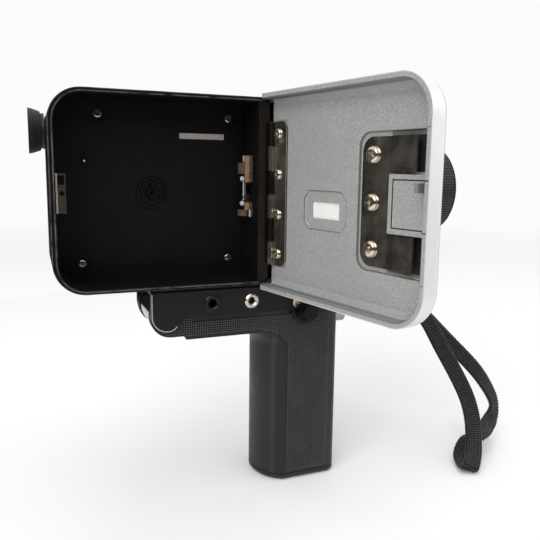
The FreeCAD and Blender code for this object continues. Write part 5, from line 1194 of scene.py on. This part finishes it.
STRAP_ROUTE = [
    (38.6, 6.0, 99.0),
    (45, 4.8, 97.6), (53, 2, 93), (62, -1.5, 85.5), (70, -4.5, 77), (76.8, -7, 68.6), (80.9, -13, 56.4),
    (86.7, -18, 43.9), (92.0, -22.5, 31.1), (92.5, -27, 21.7), (90.0, -32, 13.0), (85.8, -37.4, 6.8),
    (80.5, -42.3, 3.9), (79.5, -41.7, 1.5), (81.8, -35.4, 1.6), (83.9, -29.9, 3.4),
    (86.9, -29.2, 8.6), (91.8, -28.1, 10.0), (98.6, -27.4, 10.6),
    (111.6, -18, 11.0), (117.6, -15, 15.0), (119.5, -13, 20.1), (116.7, -11, 27.2),
    (110.9, -8.5, 36.5), (104.1, -4.5, 44.8), (97.0, 0, 52.8), (88.8, 4, 62.1), (80, 7.8, 71.8),
    (70.5, 10.5, 82), (61, 12, 90), (52, 12.5, 95.6), (45, 12.4, 98.2),
    (38.6, 12.2, 99.0),
]
# Which way the strap's face looks at some of the route's points.
STRAP_FACES = {
    0: (0, -1, 0), 4: (-0.2, -1, 0.1), 8: (-0.5, -0.8, 0.25), 10: (-0.5, -0.6, 0.5),
    11: (-0.4, -0.45, 0.75), 12: (-0.66, -0.75, 0.1), 13: (-0.4, -0.45, -0.8), 14: (0, 0, -1),
    15: (0.2, 0.25, -0.95), 16: (0.5, 0.55, -0.6), 17: (0.2, 0.25, -0.95), 18: (0.05, 0.1, -1),
    19: (-0.2, 0.5, -0.85), 20: (-0.3, 0.9, -0.5), 21: (-0.3, 1, -0.1), 24: (0.1, 1, 0), 32: (0, 1, 0),
}
# How far a stitch stands out past the core's edges and its flat sides, in millimetres.
STITCH_PAST_EDGE, STITCH_PAST_SIDE = 0.35, 0.42
# Run over which each end widens from half the strap's width to all of it, in millimetres.
STRAP_TAPER = 9


class MOVIECAMERA_OT_strap(bpy.types.Operator):
    """Braided flat wrist strap along its route, stitch by stitch"""

    bl_idname = "movie_camera.strap"
    bl_label = "Wrist Strap"

    def execute(self, context):
        settings = sizes(context, "strap")
        line = self.line()
        strap = face_pattern().grow(
            "wrist_strap_braid", self.core(line, settings), Stitch=self.stitch(settings), Loose=0.06, Seed=7,
            Finish=webbing(sizes(context, "colours").strap),
        )
        strap.data.shade_smooth()
        settle(strap, "camera", "strap_webbing", "wrist_strap")
        return {"FINISHED"}

    def line(self):
        """Points along the route's smooth line, as Blender gives them for a curve with no bevel."""
        curve = bpy.data.curves.new("strap_route", "CURVE")
        curve.dimensions = "3D"
        curve.resolution_u = 14
        spline = curve.splines.new("NURBS")
        spline.points.add(len(STRAP_ROUTE) - 1)
        for point, place in zip(spline.points, STRAP_ROUTE):
            point.co = (*(Vector(place) * MM), 1.0)
        spline.order_u = 3
        spline.use_endpoint_u = True
        route = add("strap_route", curve)
        points = [vert.co.copy() for vert in plain_mesh(route).vertices]
        bpy.data.objects.remove(route)
        return points

    def stations(self, line, step):
        """Evenly spaced places on the line with the direction of travel and the face there."""
        runs = [0.0]
        for before, after in zip(line, line[1:]):
            runs.append(runs[-1] + (after - before).length)
        total = runs[-1]
        count = round(total / step)
        marks = sorted(STRAP_FACES)
        marked = {}
        for mark in marks:
            target = Vector(STRAP_ROUTE[mark]) * MM
            nearest = min(range(len(line)), key=lambda k: (line[k] - target).length)
            marked[mark] = runs[nearest]
        found, here = [], 0
        for number in range(count + 1):
            at = total * number / count
            while here < len(line) - 2 and runs[here + 1] < at:
                here += 1
            part = (at - runs[here]) / (runs[here + 1] - runs[here])
            place = line[here].lerp(line[here + 1], part)
            way = (line[min(here + 2, len(line) - 1)] - line[max(here - 1, 0)]).normalized()
            after = next((m for m in marks if marked[m] >= at), marks[-1])
            before = max((m for m in marks if marked[m] <= at), default=marks[0])
            gap = marked[after] - marked[before]
            share = (at - marked[before]) / gap if gap > 0 else 0.0
            share = share * share * (3 - 2 * share)
            old, new = (Vector(STRAP_FACES[mark]).normalized() for mark in (before, after))
            face = old.lerp(new, share)
            face = (face - way * face.dot(way)).normalized()
            found.append((place, way, face, at, total))
        return found

    def core(self, line, settings):
        """The strap's flat tube. Each of its faces takes one stitch."""
        stations = self.stations(line, settings.stitch)
        half = settings.width / 2 - STITCH_PAST_EDGE * MM
        thick = settings.thickness / 2 - STITCH_PAST_SIDE * MM
        flat = half - thick
        spread = [-flat + 2 * flat * k / settings.columns for k in range(settings.columns + 1)]
        section = [
            *((x, -thick) for x in spread), (half, 0.0), *((-x, thick) for x in spread), (-half, 0.0)
        ]
        verts, faces, ups, alongs = [], [], [], []
        count = len(section)
        for place, way, face, at, total in stations:
            across = way.cross(face)
            wide = min(1.0, 0.5 + min(at, total - at) / (STRAP_TAPER * MM) * 0.5)
            verts += [place + across * (x * wide) - face * y for x, y in section]
        for row in range(len(stations) - 1):
            way, face = stations[row][1], stations[row][2]
            across = way.cross(face)
            for k in range(count):
                following = (k + 1) % count
                here, there = row * count + k, row * count + following
                faces.append([here, there, there + count, here + count])
                start, end = Vector(section[k]), Vector(section[following])
                middle, edge = (start + end) / 2, end - start
                normal = (face * edge.x - across * edge.y).normalized()
                if normal.dot(across * middle.x - face * middle.y) < 0:
                    normal.negate()
                slant = settings.slant * (1 if k % 2 else -1)
                ups.append(normal)
                alongs.append(Matrix.Rotation(slant, 3, normal) @ way)
        faces.append(list(range(count - 1, -1, -1)))
        last = (len(stations) - 1) * count
        faces.append(list(range(last, last + count)))
        for end in (0, -1):
            ups.append(stations[end][1] * (1 if end else -1))
            alongs.append(stations[end][2])
        mesh = bpy.data.meshes.new("strap_core")
        mesh.from_pydata(verts, [], faces)
        for label, values in (("up", ups), ("along", alongs)):
            data = mesh.attributes.new(label, "FLOAT_VECTOR", "FACE").data
            for item, value in zip(data, values):
                item.vector = value
        return mesh

    def stitch(self, settings):
        """One stitch: a long low leaf."""
        long, wide, high = settings.stitch * 1.12 / MM / 2, 0.28, 0.46

        def build(work):
            def ring(scale, height):
                return [work.verts.new((x * long * scale, y * wide * scale, height)) for x, y in (
                    (1, 0), (0.45, 0.95), (-0.45, 0.95), (-1, 0), (-0.45, -0.95), (0.45, -0.95)
                )]
            foot, shoulder = ring(1.0, -0.1), ring(0.74, high * 0.75)
            top = work.verts.new((0, 0, high))
            work.faces.new(foot)
            for k in range(6):
                n = (k + 1) % 6
                work.faces.new([foot[k], foot[n], shoulder[n], shoulder[k]])
                work.faces.new([shoulder[k], shoulder[n], top])

        return topped(mesh_of("stitch", build, 80.0), 0.0, high)


# The camera's pieces

# A pan head's height for a radius of 1, and the least radius of a head on the spring in millimetres.
PAN_HEIGHT = 0.49
SPRING_HEAD = 2.4
# Plain figures round each dial.
DIAL_FIGURES = {"speed_dial": ("1", "18", "24", "36"), "exposure_dial": ("2", "4", "8", "16")}


def rib(length_mm, width, height):
    """One rib along X, narrower at its top, with rounded ends."""
    outline = rounded(length_mm, width, min(width, 0.6) * 0.45, 2)
    return topped(prism("rib", outline, -0.1, height, 0.985, 50.0), 0.0, height)


class MOVIECAMERA_OT_housing(bpy.types.Operator):
    """Body casting, housings, covers, windows, frame counter and printed figures"""

    bl_idname = "movie_camera.housing"
    bl_label = "Housing"

    def execute(self, context):
        colours = sizes(context, "colours")
        dress(chamber_paint(colours.chamber), "chamber_casting")
        dress(housing_paint(shade(colours.chamber, 2.1)), "front_housing")
        dress(silver_lacquer(colours.silver), "left_cover", "right_front_cover")
        dress(glass("finder_pane", (0.93, 0.94, 0.95), coated=0.1), "finder_window")
        dress(glass("counter_pane", (0.95, 0.95, 0.94), coated=0.0), "counter_window")
        dress(foil(), "name_plate")
        dress(polished_steel("lug_chrome", (0.74, 0.73, 0.71), 0.12), "strap_lug")
        self.counter()
        self.prints(sizes(context, "dials"))
        return {"FINISHED"}

    def counter(self):
        """Film counter behind its window: a strip with ticks and plain numbers."""
        low, high = span("counter_window")
        middle = (low + high) / 2
        strip = prism("counter_strip", rounded(high.x - low.x - 1.2, high.z - low.z - 1.2, 0.3), -0.15, 0.0)
        laid = Matrix.Rotation(math.radians(-90), 4, "X")
        strip = add("counter_strip", placed(strip, (middle.x, low.y - 0.25, middle.z), laid))
        dress(printed("counter_card", (0.55, 0.54, 0.5)), strip)
        settle(strip, "camera", "aluminium")
        made = [
            placed(lettered(text, 1.5 * MM), (middle.x + x, low.y - 0.21, middle.z + 0.5), TO_THE_LEFT)
            for text, x in (("0", 2.4), ("15", -1.8))
        ]
        for k in range(-4, 5):
            tick = prism("tick", rounded(0.25, 0.8 if k % 2 else 1.3, 0.1, 1), 0.0, 0.03)
            made.append(placed(tick, (middle.x + k * 1.05, low.y - 0.24, middle.z - 1.9), TO_THE_LEFT))
        figures = add("counter_figures", joined("counter_figures", made))
        dress(printed("counter_ink", (0.02, 0.02, 0.02)), figures)
        settle(figures, "camera", "black_plastic")

    def prints(self, settings):
        """Plain figures beside the dials and the switch, printed on the left cover."""
        face = span("left_cover")[1].y + 0.005
        tick_length = settings.tick / MM
        rows, made = [], []
        for dial, figures in DIAL_FIGURES.items():
            start, end = span(dial)
            centre, edge = (start + end) / 2, (end.x - start.x) / 2
            for k, figure in enumerate(figures):
                angle = math.radians(135 - 270 * k / (len(figures) - 1))
                reach = edge + 3.5
                rows.append((figure, centre.x + reach * math.sin(angle), centre.z + reach * math.cos(angle)))
                reach = edge + 0.5 + tick_length / 2
                place = (centre.x + reach * math.sin(angle), face, centre.z + reach * math.cos(angle))
                tick = prism("tick", rounded(0.35, tick_length, 0.1, 1), 0.0, 0.04)
                made.append(placed(tick, place, TO_THE_LEFT @ Matrix.Rotation(angle, 4, "Z")))
        low, high = span("power_switch")
        rows.append(("OFF", low.x - 0.5, high.z + 2.0))
        rows.append(("ON", high.x + 6.5, high.z + 2.0))
        rows.append(("0", span("counter_window")[0].x - 2.0, 153.4))
        for text, x, z in rows:
            made.append(placed(lettered(text, settings.figure * 0.8), (x, face, z), TO_THE_LEFT))
        marks = add("cover_figures", joined("cover_figures", made))
        dress(printed("black_ink", (0.015, 0.015, 0.016)), marks)
        settle(marks, "camera", "black_plastic")


def lettered(text, height):
    """Plain figures as a thin mesh, centred, their tops facing up, in metres."""
    curve = bpy.data.curves.new("figure", "FONT")
    curve.body = text
    curve.size = height * 1.4
    curve.align_x = "CENTER"
    curve.align_y = "CENTER"
    curve.extrude = 0.02 * MM
    curve.resolution_u = 3
    thing = add("figure", curve)
    mesh = plain_mesh(thing)
    bpy.data.objects.remove(thing)
    mesh.materials.clear()
    return mesh


def joined(name, meshes):
    """One mesh out of several."""
    work = bmesh.new()
    for mesh in meshes:
        work.from_mesh(mesh)
    mesh = bpy.data.meshes.new(name)
    work.to_mesh(mesh)
    work.free()
    return mesh


class MOVIECAMERA_OT_door(bpy.types.Operator):
    """Film door: its paint, hinge leaf, cartridge spring, latch and pan-head screws"""

    bl_idname = "movie_camera.door"
    bl_label = "Film Door"

    def execute(self, context):
        colours = sizes(context, "colours")
        dress(door_paint(colours.silver, colours.door), "door_shell")
        dress(frosted_pane("door_pane"), "door_window")
        steel = colours.steel
        dress(polished_steel("leaf_steel", steel, 0.09), "door_hinge_leaf")
        dress(polished_steel("blued_steel", (0.05, 0.038, 0.034), 0.22), "hinge_body_leaf")
        dress(polished_steel("spring_steel", steel, 0.07, wave=0.05), "cartridge_spring")
        dress(polished_steel("pin_steel", (0.6, 0.58, 0.55), 0.2, (1.0, 1.0, 0.3)), "hinge_pin")
        dress(latch_paint(colours.door), "latch_slide")
        self.screws()
        return {"FINISHED"}

    def screws(self):
        """Pan-head screws with a cross recess, each turned as it was left when tightened."""
        normal = Vector((*(Matrix.Rotation(DOOR_OPEN, 2) @ Vector((0.0, 1.0))), 0.0))
        heads = {"leaf": [], "spring": []}
        for number, (middle, half) in enumerate(islands("door_screws")):
            turn = Matrix.Rotation(0.9 * number + 0.35, 3, normal)
            label = "leaf" if half.z < SPRING_HEAD else "spring"
            heads[label].append((middle, turn @ Vector((0, 0, 1)), half.z))
        finish = polished_steel("screw_nickel", (0.66, 0.6, 0.5), 0.14, (1.0, 1.0, 1.0), 0.02)
        for label, chosen in heads.items():
            radius = chosen[0][2]
            points = [(self.seat(middle, normal, radius), normal, along) for middle, along, _ in chosen]
            made = pan_heads(label + "_screws", points, radius * 1.08, finish)
            settle(made, "door", "screw_steel", *(("door_screws",) if label == "leaf" else ()))

    def seat(self, middle, normal, radius):
        """The place of the sheet's face under a head, found by rays onto the leaf and the spring."""
        up = Vector((0, 0, 1))
        side = normal.cross(up).normalized()
        levels = []
        for node in ("door_hinge_leaf", "cartridge_spring"):
            for k in range(8):
                angle = math.tau * k / 8
                away = (side * math.cos(angle) + up * math.sin(angle)) * (radius * 0.92)
                hit, place, _, _ = NODES[node].ray_cast((middle + away + normal * 8) * MM, -normal)
                if hit:
                    levels.append(place.dot(normal))
        if not levels:
            raise RuntimeError("no sheet under a screw of the door")
        return middle + normal * (max(levels) / MM - middle.dot(normal))


def pan_head():
    """A low pan head of radius 1 with a cross recess. It stands on its seat."""
    profile = [
        (-0.1, 0.0), (-0.1, 0.98), (0.10, 1.0), (0.26, 0.97), (0.37, 0.88), (0.44, 0.75), (0.47, 0.55),
        (0.485, 0.3), (PAN_HEIGHT, 0.0),
    ]
    head = lathe("pan_head", profile, steps=40, smooth=50.0)
    slots = []
    for turn in (0, 90):
        slot = prism("slot", rounded(1.36, 0.26, 0.1, 2), 0.8, 0.08, 0.82)
        slot.transform(Matrix.Rotation(math.radians(turn), 4, "Z"))
        slots.append(slot)
    flat = lathe("middle", [(0.8, 0.0), (0.8, 0.36), (0.1, 0.22), (0.1, 0.0)], steps=16)
    made = carved(head, *slots, flat)
    made.set_sharp_from_angle(angle=math.radians(40))
    return made


def pan_heads(name, points, size, finish):
    """Pan heads on their seats, each given by its place, the way up and the way of its cross."""
    return spot_pattern().grow(name, spots(name, points), Shape=pan_head(), Size=size, Finish=finish)


class MOVIECAMERA_OT_chamber(bpy.types.Operator):
    """What is screwed into the film chamber: gate, guides, claw, hub, strike plate and screws"""

    bl_idname = "movie_camera.chamber"
    bl_label = "Film Chamber"

    def execute(self, context):
        steel = sizes(context, "colours").steel
        dress(gate_steel(), "film_gate")
        dress(polished_steel("claw_steel", steel, 0.18, (1.0, 0.05, 1.0)), "film_claw")
        dress(strike_steel(), "strike_plate")
        dress(guide_copper(), "gate_guides")
        self.screws()
        dress(moulded("hub_plastic", (0.0036, 0.0031, 0.0029), 0.36, gloss=0.2), "take_up_hub")
        self.pin()
        return {"FINISHED"}

    def screws(self):
        """Dark cross-head screws in their recesses in the chamber floor."""
        points = []
        for number, (middle, half) in enumerate(islands("chamber_screws")):
            radius = half.x
            seat = Vector((middle.x, middle.y - half.y + PAN_HEIGHT * radius, middle.z))
            turn = Matrix.Rotation(0.8 * number + 0.3, 3, "Y")
            points.append((seat, Vector((0, -1, 0)), turn @ Vector((0, 0, 1))))
        finish = polished_steel("chamber_screw_steel", (0.34, 0.31, 0.28), 0.14)
        made = pan_heads("chamber_screw_heads", points, radius, finish)
        settle(made, "camera", "screw_steel", "chamber_screws")

    def pin(self):
        """Small steel locating pin on its boss on the chamber floor."""
        profile = [(-1.0, 0.0), (-1.0, 0.62), (0.7, 0.62), (1.0, 0.45), (1.12, 0.2), (1.15, 0.0)]
        mesh = lathe("locating_pin", [(-height, radius) for height, radius in profile], PIN_PLACE, "Y", 24)
        pin = add("locating_pin", mesh)
        dress(polished_steel("locating_pin_steel", (0.72, 0.68, 0.62), 0.2), pin)
        settle(pin, "camera", "screw_steel")


class MOVIECAMERA_OT_lens(bpy.types.Operator):
    """Lens barrel, ribbed zoom and focus rings, bezel and glasses"""

    bl_idname = "movie_camera.lens"
    bl_label = "Lens"

    def execute(self, context):
        settings = sizes(context, "rings")
        anodised = moulded("lens_anodised", (0.017, 0.017, 0.018), 0.42, 0.2, 0.01)
        dress(anodised, "lens_barrel", "front_bezel")
        for name, coated in (("front_glass", 0.45), ("zoom_lens_group", 0.4), ("rear_lens", 0.4)):
            dress(glass(name + "_glass", coated=coated), name)
        ribbed = ribbed_plastic("ring_plastic", (0.0055, 0.0055, 0.007))
        self.ring("focus_ring", "focus", settings.focus_ribs, *FOCUS_RING, settings, ribbed)
        self.ring("zoom_ring", "zoom_control", settings.zoom_ribs, *ZOOM_RING, settings, ribbed)
        return {"FINISHED"}

    def ring(self, node, body, ribs, radius, reach, settings, finish):
        """A ring with ribs all round, in the space of its CAD node."""
        low, high = span(node)
        rise = settings.rib_height / MM
        seat = self.bore(node)
        lower = radius - rise
        start, end = reach
        extra = []
        if node == "focus_ring":
            shoulder, inner = self.shoulder(node)
            profile = [
                (low.x, seat), (low.x, radius - 2), (low.x + 1.6, radius - 0.35), (low.x + 2.0, radius - 0.05),
                (start - 0.2, radius - 0.05), (start, lower), (end, lower), (end + 0.1, radius - 0.05),
                (high.x - 0.5, radius), (high.x, radius - 0.5), (high.x, inner), (shoulder, inner),
                (shoulder, seat),
            ]
        else:
            profile = [
                (low.x, seat), (low.x, radius - 0.8), (low.x + 0.8, radius), (start, radius),
                (start + 0.1, lower), (end - 0.1, lower), (end, radius), (high.x - 0.8, radius),
                (high.x, radius - 0.8), (high.x, seat),
            ]
            tip = high.z - OPTIC[1]
            extra.append(lathe("lever", [
                (radius - 1.0, 0.0), (radius - 1.0, 2.2), (radius + 1.0, 2.0), (radius + 2.5, 1.7),
                (radius + 5.0, 1.7), (radius + 6.1, 1.9), (tip - 0.35, 1.9), (tip, 1.5), (tip, 0.0),
            ], ((low.x + high.x) / 2, *OPTIC), "Z", 24))
        base = lathe(node + "_base", profile, (0, *OPTIC), "X", 128, 30.0)
        made = rib_pattern().grow(
            node + "_ribbed", joined(node, [base, *extra]),
            Rib=rib(end - start - 0.3, settings.rib_width / MM, rise - 0.02), Ribs=ribs, Radius=lower * MM,
            Turn=(0.0, math.radians(90), 0.0), Middle=Vector(((start + end) / 2, *OPTIC)) * MM, Finish=finish,
        )
        settle(made, body, "black_metal", node)

    def bore(self, node):
        """The smallest radius of a node about the optical axis, in millimetres."""
        places = (vert.co / MM for vert in NODES[node].data.vertices)
        return min(math.hypot(place.y - OPTIC[0], place.z - OPTIC[1]) for place in places)

    def shoulder(self, node):
        """Where the bore of the focus ring widens, and to what radius."""
        found = {}
        for vert in NODES[node].data.vertices:
            place = vert.co / MM
            radius = round(math.hypot(place.y - OPTIC[0], place.z - OPTIC[1]), 2)
            found.setdefault(radius, set()).add(round(place.x, 2))
        front = max(x for places in found.values() for x in places)
        inner = min(radius for radius, places in found.items() if front in places)
        return min(found[inner]), inner


class MOVIECAMERA_OT_eyepiece(bpy.types.Operator):
    """Finder tube, dioptre ring and soft eyecup"""

    bl_idname = "movie_camera.eyepiece"
    bl_label = "Eyepiece"

    def execute(self, context):
        dress(moulded("finder_plastic", (0.008, 0.008, 0.0085), 0.45, gloss=0.3), "finder_tube", "diopter_ring")
        dress(glass("eyepiece_glass", coated=0.5), "eyepiece_lens")
        dress(rubber("eyecup_rubber", (0.0085, 0.008, 0.0072)), "eyecup")
        return {"FINISHED"}


class MOVIECAMERA_OT_controls(bpy.types.Operator):
    """Dials with ribbed edges and pointer grooves, power switch, zoom rocker and trigger"""

    bl_idname = "movie_camera.controls"
    bl_label = "Controls"

    def execute(self, context):
        for node, body in (("speed_dial", "speed_control"), ("exposure_dial", "exposure_control")):
            self.dial(node, body, sizes(context, "dials").ribs)
        dress(moulded("switch_plastic", (0.02, 0.02, 0.021), 0.4), "power_switch")
        dress(moulded("rocker_plastic", (0.02, 0.02, 0.021), 0.4), "zoom_rocker")
        dress(polished_steel("trigger_chrome", (0.30, 0.30, 0.30), 0.16), "trigger")
        return {"FINISHED"}

    def dial(self, node, body, ribs):
        """A dial in the space of its CAD node: ribbed edge, dished face and filled pointer groove."""
        low, high = span(node)
        centre = Vector(((low.x + high.x) / 2, 0, (low.z + high.z) / 2))
        radius, face, foot, rise = (high.x - low.x) / 2, high.y, high.y - 3.2, 0.45
        dished = face - 0.35
        turned = lathe(node + "_base", [
            (low.y, 0.0), (low.y, 2.0), (foot, 2.0), (foot, radius - 0.5), (foot + 0.3, radius),
            (foot + 0.5, radius), (foot + 0.6, radius - rise), (face - 0.9, radius - rise),
            (face - 0.8, radius), (face - 0.6, radius), (face, radius - 0.6), (face, radius - 1.5),
            (dished, radius - 1.9), (dished, 0.0),
        ], centre, "Y", 96, 30.0)
        groove = placed(
            prism("groove", rounded(0.8, 5.0, 0.38, 4), -0.3, 0.6), centre + Vector((0, dished, 4.2)),
            Matrix.Rotation(math.radians(-90), 4, "X"),
        )
        made = rib_pattern().grow(
            node + "_ribbed", carved(turned, groove), Rib=rib(1.6, 0.5, rise - 0.02), Ribs=ribs,
            Radius=(radius - rise) * MM, Turn=(math.radians(-90), 0.0, 0.0),
            Middle=(centre + Vector((0, (foot + face - 0.3) / 2, 0))) * MM,
            Finish=dial_metal(node, centre, face),
        )
        settle(made, body, "aluminium", node)


class MOVIECAMERA_OT_saddle(bpy.types.Operator):
    """Saddle under the body with its trim, sockets, gilt screw and lock knob"""

    bl_idname = "movie_camera.saddle"
    bl_label = "Saddle"

    def execute(self, context):
        dress(moulded("saddle_lacquer", (0.005, 0.005, 0.0056), 0.34, 0.25, 0.008, 0.24), "saddle")
        dress(polished_steel("trim_chrome", (0.42, 0.415, 0.41), 0.14), "saddle_trim")
        dress(moulded("socket_plastic", (0.0035, 0.0035, 0.0038), 0.3, gloss=0.3), "remote_socket")
        dress(socket_nickel(RELEASE_SOCKET), "release_socket")
        dress(turned_metal("screw_gilt", (0.80, 0.66, 0.45), 0.2, "Y", GILT_SCREW), "gilt_screw")
        dress(turned_metal("pivot_steel", (0.6, 0.59, 0.57), 0.26, "Y", PIVOT), "pivot_pin")
        dress(moulded("knob_plastic", (0.0026, 0.0026, 0.0028), 0.36, gloss=0.2), "lock_knob")
        return {"FINISHED"}


class MOVIECAMERA_OT_grip(bpy.types.Operator):
    """Swinging grip: shells with padded sides, foot cap, hinge barrel, bush and battery cells"""

    bl_idname = "movie_camera.grip"
    bl_label = "Grip"

    def execute(self, context):
        settings = sizes(context, "grip")
        tone = sizes(context, "colours").grip
        dress(grip_plastic(tone), "grip_right_shell", "grip_left_shell")
        dress(moulded("foot_plastic", tone, 0.44, 0.26, 0.014), "grip_foot")
        dress(turned_metal("barrel_chrome", (0.34, 0.325, 0.305), 0.1, "Y", PIVOT, 0.012), "hinge_barrel")
        dress(turned_metal("bush_steel", (0.58, 0.57, 0.55), 0.26, "Y", (0.0, 0.0)), "tripod_bush")
        dress(moulded("holder_plastic", (0.02, 0.02, 0.02), 0.5), "battery_holder")
        dress(cell_jacket(), "battery_cells")
        # Painted highlight: the pads take the shell's plastic made 4.4 times lighter.
        finish = moulded("pad_plastic", shade(tone, 4.4), 0.4, 0.3, 0.006)
        width = settings.pad / MM
        pad = prism("pad", rounded(width, width, width * 0.15, 1), -0.05, settings.rise / MM, 0.72, 20.0)
        for shell, side in (("grip_right_shell", -1.0), ("grip_left_shell", 1.0)):
            low, high = span(shell)
            middle = (low + high) / 2
            middle.y = (high.y if side > 0 else low.y) + side * 1.0
            made = panel_pattern().grow(
                shell.replace("shell", "pads"), bpy.data.meshes.new("nothing"), Shell=NODES[shell], Pad=pad,
                Width=(high.x - low.x) * MM, Height=(high.z - low.z) * MM, Pitch=settings.pitch,
                Margin=settings.margin, Middle=middle * MM, Side=side, Finish=finish,
            )
            settle(made, "grip", "grip_plastic")
        return {"FINISHED"}


class MOVIECAMERA_OT_mechanism(bpy.types.Operator):
    """Motor, shafts, wheels, shutter, carrier plate and circuit board inside the body"""

    bl_idname = "movie_camera.mechanism"
    bl_label = "Mechanism"

    def execute(self, context):
        dress(turned_metal("motor_zinc", (0.6, 0.6, 0.59), 0.32, "X", MOTOR_AXIS), "motor")
        dress(polished_steel("shaft_steel", (0.6, 0.59, 0.57), 0.2), "motor_shaft")
        brass = turned_metal("wheel_brass", (0.62, 0.45, 0.2), 0.26, "X", SHUTTER_AXIS)
        dress(brass, "shutter_gear", "take_up_wheel")
        dress(moulded("shutter_black", (0.012, 0.012, 0.012), 0.6), "shutter_disc")
        carrier = polished_steel("carrier_aluminium", (0.66, 0.66, 0.67), 0.34, (0.05, 1.0, 1.0))
        dress(carrier, "mechanism_plate")
        dress(circuit_lacquer(), "circuit_board")
        return {"FINISHED"}


class MOVIECAMERA_PT_pieces(bpy.types.Panel):
    """The camera's pieces and their sizes"""

    bl_idname = "MOVIECAMERA_PT_pieces"
    bl_label = "Movie Camera"
    bl_space_type = "VIEW_3D"
    bl_region_type = "UI"
    bl_category = "Movie Camera"

    def draw(self, context):
        for maker, group in PIECES:
            box = self.layout.box()
            box.operator(maker.bl_idname)
            if group:
                settings = sizes(context, group)
                for name in settings.__annotations__:
                    box.prop(settings, name)


PIECES = [
    (MOVIECAMERA_OT_studio, "studio"),
    (MOVIECAMERA_OT_strap, "strap"),
    (MOVIECAMERA_OT_housing, "colours"),
    (MOVIECAMERA_OT_door, None),
    (MOVIECAMERA_OT_chamber, None),
    (MOVIECAMERA_OT_lens, "rings"),
    (MOVIECAMERA_OT_eyepiece, None),
    (MOVIECAMERA_OT_controls, "dials"),
    (MOVIECAMERA_OT_saddle, None),
    (MOVIECAMERA_OT_grip, "grip"),
    (MOVIECAMERA_OT_mechanism, None),
]


def register():
    for kind in [*GROUPS.values(), *(maker for maker, _ in PIECES), MOVIECAMERA_PT_pieces]:
        bpy.utils.register_class(kind)
    for name, kind in GROUPS.items():
        setattr(bpy.types.Scene, "movie_camera_" + name, PointerProperty(type=kind))


def unregister():
    for name in GROUPS:
        delattr(bpy.types.Scene, "movie_camera_" + name)
    for kind in [MOVIECAMERA_PT_pieces, *(maker for maker, _ in PIECES), *GROUPS.values()]:
        bpy.utils.unregister_class(kind)


def main():
    register()
    for maker, _ in PIECES:
        group, name = maker.bl_idname.split(".")
        getattr(getattr(bpy.ops, group), name)()


if __name__ == "__main__":
    main()
